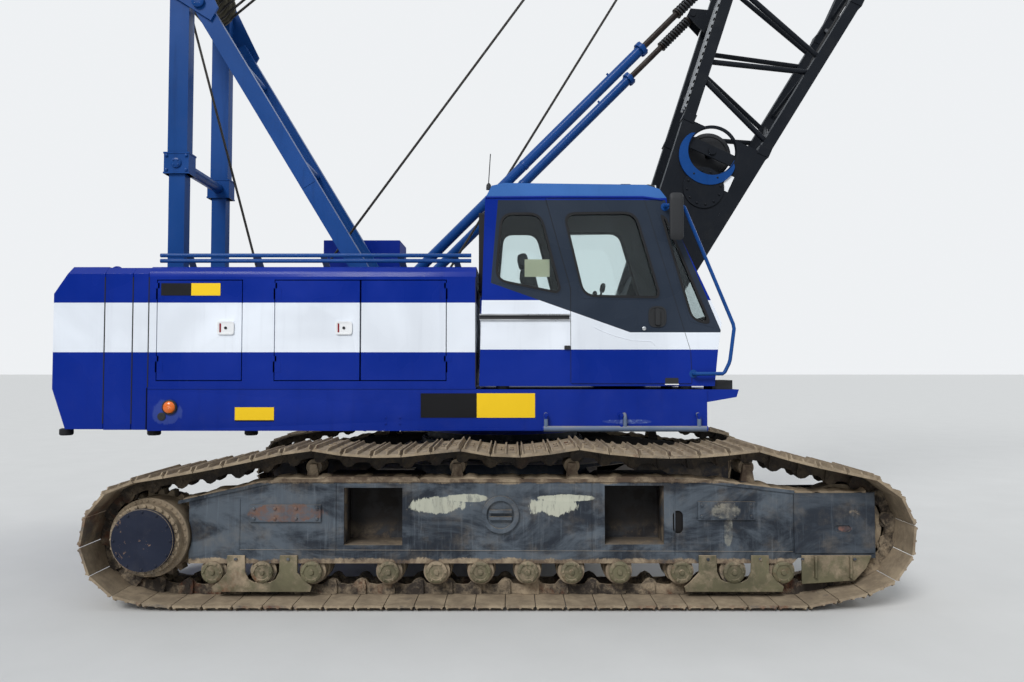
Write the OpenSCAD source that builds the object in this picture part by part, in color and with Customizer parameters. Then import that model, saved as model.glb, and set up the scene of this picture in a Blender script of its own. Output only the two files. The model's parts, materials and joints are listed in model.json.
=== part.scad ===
// Crawler crane with a lattice boom, in millimetres.
// X points forward, Y to the machine's left, Z up.
// The origin lies on the ground under the swing axis.

/* [Tracks] */
// Distance between the two track centre lines
track_gauge = 4000; // [3900:50:4200]
// Width of one shoe
shoe_w = 800; // [700:10:840]
// Number of shoes on one track
shoe_count = 60; // [56:1:62]
// Thickness of a shoe plate
shoe_t = 22; // [16:1:26]
// Height of the grousers on a shoe
grouser_h = 26; // [15:1:34]
// Height of the link chain under the shoes
chain_h = 80; // [70:1:90]
// Width of the link chain
chain_w = 190; // [150:5:220]
// Place of the drive sprocket along the machine
sprocket_x = -2600; // [-2640:5:-2560]
// Height of the drive sprocket's centre
sprocket_z = 500; // [490:1:510]
// Radius at which the shoes pass round the sprocket
sprocket_path_r = 426; // [415:1:434]
// Place of the idler along the machine
idler_x = 2600; // [2560:5:2640]
// Height of the idler's centre
idler_z = 550; // [540:1:560]
// Radius at which the shoes pass round the idler
idler_path_r = 419; // [410:1:426]
// Front end of the flat lower run
flat_front_x = 2240; // [2200:5:2270]
// Rear end of the flat lower run
flat_rear_x = -2450; // [-2480:5:-2400]
// Sag of the upper run between two carrier rollers
run_sag = 60; // [20:1:70]
// Radius of a bottom roller's flange
roller_r = 110; // [95:1:118]
// Radius of a carrier roller
carrier_r = 60; // [45:1:65]

/* [Side frames] */
// Width of a side frame over its two side plates
frame_w = 400; // [380:5:440]
// Thickness of a side plate
frame_plate = 20; // [12:1:30]
// Lower edge of the side plates above the ground
frame_z0 = 300; // [290:1:320]
// Upper edge of the side frame at its middle
frame_z1 = 910; // [880:1:920]

/* [Swing ring and deck] */
// Outer radius of the swing ring
ring_r = 820; // [700:10:900]
// Underside of the deck above the ground
deck_z0 = 1241; // [1236:1:1260]
// Top of the deck above the ground
deck_z1 = 1584; // [1560:1:1600]
// Overall width of the deck and houses
deck_w = 3200; // [3160:10:3240]
// Front end of the deck
deck_front_x = 1720; // [1700:10:1760]
// Radius of the counterweight's tail
tail_r = 4050; // [4000:10:4150]

/* [Houses] */
// Top of the machinery houses
house_z1 = 2613; // [2560:1:2660]
// Wall thickness of a house
house_wall = 40; // [25:1:60]
// Inner side of a house from the centre line
house_y_in = 700; // [680:10:740]
// Gap round a house door
door_gap = 8; // [6:1:12]

/* [Cab] */
// Left wall of the cab from the centre line
cab_y_in = 600; // [596:2:640]
// Wall thickness of the cab
cab_wall = 45; // [30:1:60]
// Underside of the cab
cab_z0 = 1612; // [1610:1:1630]
// Thickness of the glass
glass_t = 8; // [5:1:12]

/* [Gantry] */
// Place of the rear posts along the machine
post_x = -3140; // [-3150:5:-3130]
// Distance of the posts and legs from the centre line
gantry_y = 540; // [535:1:560]
// Width of a post's upper sleeve
sleeve_w = 190; // [170:2:200]
// Width of a post's lower tube
post_w = 155; // [130:5:160]
// Height of the gantry head's shaft
gantry_z = 5700; // [5600:10:5800]
// Width of a front leg
leg_w = 160; // [140:2:180]
// Thickness of a front leg across the machine
leg_t = 130; // [110:2:140]

/* [Backstops] */
// Distance of the backstops from the centre line
stop_y = 400; // [390:1:405]
// Radius of a backstop tube
stop_r = 50; // [42:1:54]
// Radius of a backstop rod
stop_rod_r = 32; // [25:1:36]

/* [Boom] */
// Angle of the boom above the ground as parked
boom_angle = 65; // [64.5:0.1:65.5]
// Length of the boom from foot pin to sheave shaft
boom_len = 13000; // [12500:100:13500]
// Place of the foot pin along the machine
foot_x = 1130; // [1110:5:1150]
// Height of the foot pin
foot_z = 1750; // [1740:5:1770]
// Overall width of the boom
boom_w = 1060; // [1040:5:1070]
// Overall depth of the boom at full section
boom_depth = 1400; // [1300:10:1450]
// Width of a square chord
chord = 110; // [90:1:120]
// Diameter of a side lacing tube
lacing_d = 52; // [40:1:60]
// Radius of the tip sheaves
tip_sheave_r = 330; // [280:5:350]

/* [Hoist] */
// Height of the hook block's sheave shaft as parked
block_z = 10400; // [9000:50:10600]
// Radius of a hoist rope
rope_r = 13; // [10:1:16]

/* [Hidden] */
$fn = 48;

seat = 0.3;          // clearance of a seated piece
track_y = track_gauge / 2;
path_z0 = shoe_t + grouser_h;

// Helpers: rods and plates across the machine, and the two sides
module rod_y(x, z, r, y0, y1) {
  translate([x, y0, z]) rotate([-90, 0, 0]) cylinder(h = y1 - y0, r = r);
}
module plate_y(points, y0, y1) {
  translate([0, y1, 0]) rotate([90, 0, 0]) linear_extrude(height = y1 - y0) polygon(points);
}
module box(x0, x1, y0, y1, z0, z1) {
  translate([x0, y0, z0]) cube([x1 - x0, y1 - y0, z1 - z0]);
}
module both_sides() {
  for (m = [0, 1]) mirror([0, m, 0]) children();
}
// A bar of rectangular section from a to b in the XZ plane, centred on the line
module bar_xz(a, b, w, y0, y1) {
  d = b - a;
  translate([a[0], 0, a[1]]) rotate([0, -atan2(d[1], d[0]), 0])
    translate([0, y0, -w / 2]) cube([norm(d), y1 - y0, w]);
}
// A round tube between two points in space
module tube_3d(a, b, r) {
  d = b - a;
  translate(a) rotate([0, acos(d[2] / norm(d)), atan2(d[1], d[0])]) cylinder(h = norm(d), r = r);
}
// An outline moved inwards by d, for outlines that run anticlockwise
function edge_line(p, q, d) =
  let(u = (q - p) / norm(q - p), n = [-u[1], u[0]]) [p + n * d, u];
function cross_lines(a, b) =
  let(den = a[1][0] * b[1][1] - a[1][1] * b[1][0], w = b[0] - a[0])
  a[0] + a[1] * ((w[0] * b[1][1] - w[1] * b[1][0]) / den);
function inset(pts, d) =
  let(n = len(pts))
  [for (i = [0 : n - 1])
    cross_lines(edge_line(pts[(i + n - 1) % n], pts[i], d), edge_line(pts[i], pts[(i + 1) % n], d))];

// Track path: straight lower run, round the idler, sagging upper run, round the sprocket
function touch_angle(p, c, r, side) =
  let(v = p - c) atan2(v[1], v[0]) + side * acos(r / norm(v));
function on_circle(c, r, a) = c + r * [cos(a), sin(a)];
function span(p, q, sag, n = 12) =
  [for (k = [1 : n]) let(t = k / n) p + (q - p) * t - [0, 4 * sag * t * (1 - t)]];
// Where the carrier rollers lift the upper run: [place, height of the shoes' underside]
CARRIERS = [[1885, 1152], [556, 1170], [-316, 1165], [-1410, 1165]];
sprocket_c = [sprocket_x, sprocket_z];
idler_c = [idler_x, idler_z];
flat_front = [flat_front_x, path_z0];
flat_rear = [flat_rear_x, path_z0];
idler_a0 = touch_angle(flat_front, idler_c, idler_path_r, 1);
idler_a1 = touch_angle(CARRIERS[0], idler_c, idler_path_r, -1);
sprocket_a0 = touch_angle(CARRIERS[3], sprocket_c, sprocket_path_r, 1);
sprocket_a1 = touch_angle(flat_rear, sprocket_c, sprocket_path_r, -1) + 360;
arc_steps = 24;
end_sag = 15;
path = concat(
  [flat_front],
  [for (k = [0 : arc_steps]) on_circle(idler_c, idler_path_r, idler_a0 + (idler_a1 - idler_a0) * k / arc_steps)],
  span(on_circle(idler_c, idler_path_r, idler_a1), CARRIERS[0], end_sag),
  span(CARRIERS[0], CARRIERS[1], run_sag),
  span(CARRIERS[1], CARRIERS[2], run_sag),
  span(CARRIERS[2], CARRIERS[3], run_sag),
  span(CARRIERS[3], on_circle(sprocket_c, sprocket_path_r, sprocket_a0), end_sag),
  [for (k = [1 : arc_steps]) on_circle(sprocket_c, sprocket_path_r,
    sprocket_a0 + (sprocket_a1 - sprocket_a0) * k / arc_steps)],
  [flat_rear, flat_front]);
path_n = len(path) - 1;
path_s = [for (i = 0, s = 0; i <= path_n;
  s = s + (i < path_n ? norm(path[i + 1] - path[i]) : 0), i = i + 1) s];
path_len = path_s[path_n];
path_xs = [for (i = [0 : path_n]) [path_s[i], path[i][0]]];
path_zs = [for (i = [0 : path_n]) [path_s[i], path[i][1]]];
pitch = path_len / shoe_count;
JOINTS = [for (i = [0 : shoe_count]) [lookup(i * pitch, path_xs), lookup(i * pitch, path_zs)]];
// A point on link i: f along the link, h outwards from the shoe's underside
function link_pt(i, f, h) =
  let(a = JOINTS[i], b = JOINTS[i + 1], u = (b - a) / norm(b - a)) a + (b - a) * f + [u[1], -u[0]] * h;
// One shoe's outline: [share of the pitch, height over the shoe's underside]
SHOE = [[0, 10], [0.05, path_z0], [0.16, path_z0], [0.26, shoe_t],
  [0.50, path_z0], [0.74, shoe_t], [0.84, path_z0], [0.95, path_z0]];
link_in = 0.12;
links = [0 : shoe_count - 1];
// Radius left inside the chain where the links lie on a circle as chords
function chord_r(r) = sqrt(r * r - pitch * pitch / 4) - chain_h - seat;
sprocket_r = chord_r(sprocket_path_r);
idler_r = chord_r(idler_path_r);

module track() {
  shoes = [for (i = links) for (p = SHOE) link_pt(i, p[0], p[1])];
  under = [for (i = links) JOINTS[i]];
  chain_out = [for (i = links) for (f = [link_in, 1 - link_in]) link_pt(i, f, 8)];
  chain_under = [for (i = links) for (f = [link_in, 1 - link_in]) link_pt(i, f, -chain_h)];
  rotate([90, 0, 0]) {
    translate([0, 0, -shoe_w / 2]) linear_extrude(height = shoe_w)
      difference() { polygon(shoes); polygon(under); }
    translate([0, 0, -chain_w / 2]) linear_extrude(height = chain_w)
      difference() { polygon(chain_out); polygon(chain_under); }
  }
}

// Rollers
ROLLER_X = [-2135, -1764, -1396, -821, -464, -135, 217, 544, 902, 1365, 1756, 2123];
roller_z = path_z0 + chain_h + roller_r + seat;
roller_len = frame_w - 2 * frame_plate - 2 * seat;
carrier_half = 110;
ear_t = 36;
// Room under the chain, which sits lower where two links meet over a roller
carrier_gap = 1.5;
// Height of a roller of radius r that carries the upper run at x
function carried_z(x, r) = min([for (i = links)
  let(a = JOINTS[i], b = JOINTS[i + 1])
  if (b[0] < a[0] && b[0] < x + pitch * 0.7 && a[0] > x - pitch * 0.7 && a[1] > 900)
    let(t = (b[1] - a[1]) / (b[0] - a[0])) a[1] + t * (x - a[0]) - (chain_h + r + carrier_gap) * sqrt(1 + t * t)]);

module bottom_roller(x) {
  translate([x, 0, roller_z]) rotate([90, 0, 0]) {
    cylinder(h = roller_len, r = roller_r * 0.62, center = true);
    for (s = [-1, 1]) translate([0, 0, s * (roller_len / 2 - 42)])
      cylinder(h = 84, r = roller_r * 0.9, center = true);
    for (s = [-1, 1]) translate([0, 0, s * (chain_w / 4 + 8)])
      cylinder(h = 60, r = roller_r, center = true);
  }
}
module track_rollers() {
  color([0.42, 0.38, 0.33]) for (s = [-1, 1]) translate([0, s * track_y, 0]) {
    for (x = ROLLER_X) bottom_roller(x);
    for (c = CARRIERS) rod_y(c[0], carried_z(c[0], carrier_r), carrier_r, -carrier_half, carrier_half);
  }
}

// Side frame: two plates with roller saddles, a body between them, and openings to the outside
FRAME = [[-2320, frame_z0], [2200, frame_z0], [2240, frame_z0 + 40], [2820, frame_z0 + 40],
  [2820, frame_z1 - 80], [2220, frame_z1 - 85], [1587, frame_z1 - 10], [1360, frame_z1],
  [-1660, frame_z1], [-2320, frame_z1 - 147]];
BODY = [[-2200, 365], [2180, 365], [2180, frame_z1 - 80], [1587, frame_z1 - 12],
  [1360, frame_z1 - 2], [-1660, frame_z1 - 2], [-2200, frame_z1 - 122]];
// Openings in the outer plate: [rear, front, low, high]
WINDOWS = [[-1160, -722, 435, 862], [795, 1240, 440, 878]];
window_depth = 270;
saddle_r = 52;
drive_r = 200;
drive_len = 330;
module frame_plate_shape(outer) {
  difference() {
    union() {
      polygon(FRAME);
      for (x = ROLLER_X) {
        translate([x, roller_z]) circle(r = saddle_r);
        translate([x - saddle_r, roller_z]) square([2 * saddle_r, frame_z0 - roller_z + 10]);
      }
      if (!outer) {
        translate([sprocket_x, sprocket_z]) circle(r = drive_r + 45);
        translate([sprocket_x, sprocket_z - 150]) square([400, 300]);
      }
    }
    if (outer) {
      translate([sprocket_x, sprocket_z]) circle(r = hub_r + 14);
      for (w = WINDOWS) translate([w[0], w[2]]) square([w[1] - w[0], w[3] - w[2]]);
      translate([1305, 560]) square([76, 94]);
      for (z = [560, 654]) translate([1343, z]) circle(r = 38);
      for (x = [2480, 2700]) translate([x, 600]) circle(r = 22);
    }
  }
}
module side_frame() {
  // local y = 0 is the track's centre, +y points to the outside
  half = frame_w / 2;
  for (p = [[half - frame_plate, true], [-half, false]])
    translate([0, p[0] + frame_plate, 0]) rotate([90, 0, 0]) linear_extrude(height = frame_plate)
      frame_plate_shape(p[1]);
  difference() {
    plate_y(BODY, -half + frame_plate, half - frame_plate);
    for (w = WINDOWS) box(w[0], w[1], half - window_depth, half, w[2], w[3]);
    rod_y(sprocket_x, sprocket_z, sprocket_r + 25, -half, half);
    rod_y(idler_x, idler_z, idler_path_r + 20, -half, half);
  }
  // raised covers over the two openings
  for (c = [[-1350, -560], [700, 1360]])
    plate_y([[c[0], frame_z1 - 2], [c[1], frame_z1 - 2], [c[1] - 60, frame_z1 + 36], [c[0] + 60, frame_z1 + 36]],
      -half + 10, half + 14);
  // top flange of the outer plate
  plate_y([[-2400, frame_z1 - 168], [-1660, frame_z1 - 5], [1360, frame_z1 - 5], [1587, frame_z1 - 15], [2215, frame_z1 - 90],
    [2215, frame_z1 - 67], [1587, frame_z1 + 10], [1360, frame_z1 + 20], [-1660, frame_z1 + 20], [-2400, frame_z1 - 143]],
    half - 70, half + 12);
  // carrier roller ears
  for (c = CARRIERS) for (s = [-1, 1]) {
    z = carried_z(c[0], carrier_r);
    translate([0, s * (carrier_half + seat + ear_t / 2), 0])
      plate_y([[c[0] - 70, frame_z1 - 110], [c[0] + 70, frame_z1 - 110], [c[0] + 30, z + 25], [c[0] - 30, z + 25]],
        -ear_t / 2, ear_t / 2);
  }
  // travel drive case inboard of the sprocket
  rod_y(sprocket_x, sprocket_z, drive_r, -half - drive_len, -half + frame_plate + 20);
  rod_y(sprocket_x, sprocket_z, drive_r * 0.6, -half - drive_len - 120, -half - drive_len);
  // round lug with two bars, plates and take-up covers on the outer side
  difference() {
    rod_y(14, 665, 138, half - 1, half + 26);
    rod_y(14, 665, 104, half + 4, half + 27);
  }
  for (z = [640, 690]) box(-70, 98, half + 2, half + 40, z - 11, z + 11);
  for (b = [[-1860, -1330, 612, 736], [1490, 1920, 625, 760]]) box(b[0], b[1], half - 1, half + 18, b[2], b[3]);
  difference() {
    box(2210, 2810, half - 1, half + 14, 380, frame_z1 - 85);
    box(2532, 2607, half + 4, half + 15, 535, 585);
    for (x = [2532, 2607]) rod_y(x, 560, 25, half + 4, half + 15);
  }
}
module side_frame_right() { color([0.30, 0.36, 0.42]) mirror([0, 1, 0]) translate([0, track_y, 0]) side_frame(); }
module side_frame_left() { color([0.30, 0.36, 0.42]) translate([0, track_y, 0]) side_frame(); }
module track_right() { color([0.45, 0.38, 0.30]) translate([0, -track_y, 0]) track(); }
module track_left() { color([0.45, 0.38, 0.30]) translate([0, track_y, 0]) track(); }

// Drive sprockets with hub, bolt ring and cover disc
teeth = round(2 * PI * sprocket_path_r / pitch) * 2;
tooth_w = 90;
hub_r = 288;
module sprocket() {
  in = -frame_w / 2 + frame_plate + 20 + seat;
  out = frame_w / 2 + 20;
  // toothed ring
  root = sprocket_r - 40;
  rotate([90, 0, 0]) linear_extrude(height = tooth_w, center = true)
    polygon([for (i = [0 : teeth - 1]) for (p = [[-0.36, root], [-0.16, sprocket_r], [0.16, sprocket_r], [0.36, root]])
      let(a = (i + p[0]) * 360 / teeth) [p[1] * cos(a), p[1] * sin(a)]]);
  rod_y(0, 0, hub_r, in, out + 20);
  rod_y(0, 0, hub_r - 32, out + 19, out + 90);
  rod_y(0, 0, hub_r - 60, out + 89, out + 135);
  for (i = [0 : 23]) rotate([0, i * 15, 0]) rod_y(hub_r - 46, 0, 11, out + 89, out + 102);
}
module sprockets() {
  color([0.36, 0.36, 0.37]) for (m = [0, 1]) mirror([0, m, 0])
    translate([sprocket_x, track_y, sprocket_z]) sprocket();
}
module idlers() {
  reach = frame_w / 2 - frame_plate - seat;
  color([0.40, 0.37, 0.33]) for (s = [-1, 1]) translate([0, s * track_y, 0]) {
    difference() {
      rod_y(idler_x, idler_z, idler_r, -80, 80);
      for (f = [-1, 1]) rod_y(idler_x, idler_z, idler_r - 45, f * 65 - 20, f * 65 + 20);
    }
    rod_y(idler_x, idler_z, 120, -reach, reach);
  }
}
// Roller guards: a long foot on two posts, seen from the middle of three rollers, and a plate at the idler
guard_t = 16;
guard_x = [ROLLER_X[1], ROLLER_X[10]];
GUARD = [[360, 92], [372, 130], [330, 165], [262, 235], [262, 362], [130, 362], [126, 240], [100, 185], [60, 164]];
IDLER_GUARD = [[2262, 150], [2655, 176], [2745, 270], [2785, 362], [2262, 362]];
module roller_guards() {
  y = track_y + frame_w / 2 + seat;
  color([0.62, 0.60, 0.42]) both_sides() {
    for (x = guard_x) translate([x, 0, 0]) plate_y(concat(GUARD,
      [for (i = [len(GUARD) - 1 : -1 : 0]) [-GUARD[i][0], GUARD[i][1]]]), y, y + guard_t);
    plate_y(IDLER_GUARD, y, y + guard_t);
    for (x = [2350, 2610]) box(x, x + 16, y + guard_t - 1, y + 50, 200, 362);
  }
}

// Carbody: a middle box, two cross beams to the side frames, and the ring seat
beam_x = 980;
BEAM = [[-230, 400], [230, 400], [210, 860], [-210, 860]];
ring_z0 = 1010;
ring_split = 1140;
module carbody() {
  reach = track_y - frame_w / 2;
  color([0.25, 0.27, 0.30]) {
    for (x = [-beam_x, beam_x]) translate([x, 0, 0]) plate_y(BEAM, -reach, reach);
    translate([0, 0, 430]) linear_extrude(height = 470)
      polygon([[-1180, -620], [-700, -1050], [700, -1050], [1180, -620],
        [1180, 620], [700, 1050], [-700, 1050], [-1180, 620]]);
    translate([0, 0, 899]) cylinder(h = ring_z0 - 899, r = ring_r + 60, $fn = 72);
  }
}
module swing_ring() {
  color([0.33, 0.33, 0.33]) difference() {
    union() {
      translate([0, 0, ring_z0]) cylinder(h = 60, r = ring_r, $fn = 72);
      translate([0, 0, ring_z0]) cylinder(h = ring_split - ring_z0, r = ring_r - 50, $fn = 72);
    }
    translate([0, 0, ring_z0 - 1]) cylinder(h = ring_split - ring_z0 + 2, r = ring_r - 220, $fn = 72);
  }
}

// Deck: middle box, side decks with skirts, boom lugs, drum stands, gantry seats
half_w = deck_w / 2;
skirt_t = 30;
deck_rear_x = -2927;
middle_y = 640;
// Winch drums: [place along the machine, height, drum radius, flange radius]
MAIN_DRUM = [-1900, 2160, 230, 360];
SECOND_DRUM = [-620, 2160, 230, 360];
LUFFING_DRUM = [-2620, 2060, 170, 280];
DRUMS = [MAIN_DRUM, SECOND_DRUM, LUFFING_DRUM];
drum_y = 290;
stand_t = 40;
stand_gap = 6;
pin_r = 45;
lug_out = boom_w / 2 + 12;
lug_t = 40;
foot_pin_r = 60;
module deck() {
  color([0.10, 0.22, 0.55]) {
    difference() {
      union() {
        box(cw_front + seat, deck_front_x - 20, -middle_y, middle_y, deck_z0, deck_z1);
        box(deck_rear_x, deck_front_x, -half_w, half_w, deck_z1 - 30, deck_z1);
        both_sides() box(deck_rear_x, deck_front_x, half_w - skirt_t, half_w, deck_z0, deck_z1);
        for (x = [-2900, -1900, -900, 100, 1000, deck_front_x - 40])
          box(x, x + 24, -half_w + 5, half_w - 5, deck_z0 + 80, deck_z1 - 10);
      }
      translate([0, 0, deck_z0 - 1]) cylinder(h = 60, r = ring_r - 240);
    }
    translate([0, 0, ring_split + seat]) cylinder(h = deck_z0 - ring_split + 1, r = ring_r - 50, $fn = 72);
    // boom foot lugs and pins
    both_sides() {
      for (y = [lug_out, boom_w / 2 - 110 - lug_t - 12])
        plate_y([[foot_x - 260, deck_z1 - 5], [foot_x + 260, deck_z1 - 5], [foot_x + 95, foot_z + 40],
          [foot_x + 45, foot_z + 95], [foot_x - 45, foot_z + 95], [foot_x - 95, foot_z + 40]], y, y + lug_t);
      rod_y(foot_x, foot_z, foot_pin_r, boom_w / 2 - 110 - lug_t, lug_out + lug_t + 5);
    }
    // drum stands with their shafts
    for (d = DRUMS) {
      both_sides() plate_y([[d[0] - 150, deck_z1 - 5], [d[0] + 150, deck_z1 - 5], [d[0] + 80, d[1] + 70],
        [d[0] - 80, d[1] + 70]], drum_y + stand_gap, drum_y + stand_gap + stand_t);
      rod_y(d[0], d[1], pin_r, -drum_y - stand_gap - 5, drum_y + stand_gap + 5);
    }
    // front nose under the cab and step bar with its posts
    plate_y([[deck_front_x - 5, 1476], [1970, 1520], [1990, deck_z1 - 1], [deck_front_x - 5, deck_z1 - 1]],
      -half_w + 20, -cab_y_in - 40);
  }
  color([0.20, 0.24, 0.32]) {
    rod_step = 22;
    translate([350, -half_w - 50, 1262]) rotate([0, 90, 0]) cylinder(h = 1360, r = rod_step);
    for (x = [380, 1000, 1640]) {
      translate([x, -half_w - 50, 1262]) cylinder(h = 120, r = 16);
      translate([x, -half_w + 1, 1375]) rotate([90, 0, 0]) cylinder(h = 68, r = 16);
    }
  }
}
module drum(d) {
  color([0.15, 0.16, 0.18]) difference() {
    union() {
      rod_y(d[0], d[1], d[2], -drum_y, drum_y);
      for (s = [-1, 1]) rod_y(d[0], d[1], d[3], s * (drum_y - 14) - 14, s * (drum_y - 14) + 14);
      rod_y(d[0], d[1], d[2] + drum_rope_gap, -drum_y + 30, drum_y - 30);
    }
    rod_y(d[0], d[1], pin_r + seat, -drum_y - 1, drum_y + 1);
  }
}
module main_drum() { drum(MAIN_DRUM); }
module second_drum() { drum(SECOND_DRUM); }
module luffing_drum() { drum(LUFFING_DRUM); }

// Counterweight: a rear block round the tail and two side slabs
cw_front = -3294;
slab_split = -3060;
groove = 4;
cw_z0 = 1254;
function tail_points(r, y1, n) = [for (k = [0 : n]) let(y = -y1 + 2 * y1 * k / n) [-sqrt(r * r - y * y), y]];
module counterweight() {
  color([0.10, 0.22, 0.55]) {
    difference() {
      translate([0, 0, cw_z0]) linear_extrude(height = house_z1 - cw_z0)
        polygon(concat(tail_points(tail_r, half_w, 16), [[cw_front, half_w], [cw_front, -half_w]]));
      // sloping upper edge and tucked lower edge at the tail
      difference() {
        translate([0, 0, house_z1 - 240]) cylinder(h = 300, r = tail_r + 400, $fn = 96);
        translate([0, 0, house_z1 - 241]) cylinder(h = 302, r1 = tail_r + 5, r2 = tail_r - 180, $fn = 96);
      }
      difference() {
        translate([0, 0, cw_z0 - 1]) cylinder(h = 353, r = tail_r + 400, $fn = 96);
        translate([0, 0, cw_z0 - 2]) cylinder(h = 354, r1 = tail_r - 105, r2 = tail_r + 5, $fn = 96);
      }
      both_sides() translate([0, half_w, house_z1]) rotate([0, 90, 0]) rotate([0, 0, 45])
        cube([90, 90, 20000], center = true);
    }
    for (s = [[cw_front + seat, slab_split - seat], [slab_split, deck_rear_x - seat]])
      both_sides() difference() {
        box(s[0], s[1], middle_y + seat, half_w, deck_z0 + 8, house_z1 - 8);
        // joint lines and the slope along the top edge
        for (x = s) box(x - groove, x + groove, half_w - 2 * groove, half_w + 1, deck_z0, house_z1);
        translate([0, half_w, house_z1]) rotate([0, 90, 0]) rotate([0, 0, 45])
          cube([90, 90, 20000], center = true);
      }
  }
}

// House doors: [name's place, rear edge, front edge, 1 if the hinge is at the front]
DOORS = [[-2854, -2153, 0], [-1874, -1170, 0], [-1156, -452, 1]];
door_z0 = 1661;
door_z1 = 2491;
house_front_x = -200;
hinge_r = 14;
hinge_y = half_w + hinge_r + 5;
hinge_h = 90;
HINGE_Z = [door_z0 + 110, door_z1 - 110];
// Height of the rounded edge along the roof
roof_edge = 90;
module house() {
  // local +y is the outside
  difference() {
    union() {
      box(deck_rear_x, house_front_x, house_y_in, half_w, deck_z1 + seat, house_z1 - roof_edge + 1);
      translate([deck_rear_x, house_y_in, house_z1 - roof_edge]) rotate([90, 0, 90])
        linear_extrude(height = house_front_x - deck_rear_x)
          polygon([[0, 0], [half_w - house_y_in, 0], [half_w - house_y_in - 9, 42],
            [half_w - house_y_in - 28, 72], [half_w - house_y_in - 62, roof_edge], [0, roof_edge]]);
    }
    box(deck_rear_x + house_wall, house_front_x - house_wall, house_y_in + house_wall, half_w - house_wall,
      deck_z1 - 1, house_z1 - roof_edge - 10);
    for (d = [[DOORS[0][0], DOORS[0][1]], [DOORS[1][0], DOORS[2][1]]])
      box(d[0] - door_gap, d[1] + door_gap, half_w - house_wall - 1, half_w + 1, door_z0 - door_gap, door_z1 + door_gap);
  }
  for (d = DOORS) for (z = HINGE_Z) {
    hx = d[2] == 1 ? d[1] : d[0];
    back = d[2] == 1 ? 1 : -1;
    translate([hx, hinge_y, z + hinge_h / 2 + seat]) cylinder(h = hinge_h / 2, r = hinge_r);
    box(min(hx, hx + back * 50), max(hx, hx + back * 50), half_w - 1, hinge_y,
      z + hinge_h / 2 + seat, z + hinge_h + seat);
  }
}
module house_right() { color([0.10, 0.22, 0.55]) mirror([0, 1, 0]) house(); }
module house_left() { color([0.10, 0.22, 0.55]) house(); }
module house_door(d) {
  color([0.12, 0.25, 0.60]) {
    difference() {
      box(d[0], d[1], half_w - house_wall, half_w, door_z0, door_z1);
      box(d[0] + 40, d[1] - 40, half_w - house_wall - 1, half_w - house_wall + 22, door_z0 + 40, door_z1 - 40);
    }
    hx = d[2] == 1 ? d[1] : d[0];
    lx = d[2] == 1 ? d[0] : d[1];
    inward = d[2] == 1 ? 1 : -1;
    for (z = HINGE_Z) {
      translate([hx, hinge_y, z - hinge_h / 2]) cylinder(h = hinge_h, r = hinge_r);
      box(min(hx, hx - inward * 50), max(hx, hx - inward * 50), half_w - 1, hinge_y, z - hinge_h / 2, z + hinge_h / 2);
    }
    if (d[0] != DOORS[2][0])
      box(min(lx + inward * 60, lx + inward * 170), max(lx + inward * 60, lx + inward * 170),
        half_w - 1, half_w + 10, 2040, 2150);
  }
}
module door_right_rear() { mirror([0, 1, 0]) house_door(DOORS[0]); }
module door_right_middle() { mirror([0, 1, 0]) house_door(DOORS[1]); }
module door_right_front() { mirror([0, 1, 0]) house_door(DOORS[2]); }
module door_left_rear() { house_door(DOORS[0]); }
module door_left_middle() { house_door(DOORS[1]); }
module door_left_front() { house_door(DOORS[2]); }
module engine() {
  color([0.35, 0.35, 0.33]) box(-2700, -1350, 840, 1440, deck_z1 + seat, 2450);
}
module exhaust_hood() {
  color([0.12, 0.25, 0.60]) {
    box(-2070, -1190, 860, 1400, house_z1, 3240);
    translate([-1100, 1130, house_z1]) cylinder(h = 340, r = 60);
  }
}
// Handrails along the outer edge of each house roof
module handrails() {
  rail_r = 17;
  y = half_w - 85;
  color([0.12, 0.25, 0.60]) both_sides() {
    for (z = [2668, 2714]) translate([-2873, y, z]) rotate([0, 90, 0]) cylinder(h = 2628, r = rail_r);
    for (x = [-2440, -1870, -1320, -420]) translate([x, y, house_z1 + seat]) cylinder(h = 90, r = 14);
  }
}

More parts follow.
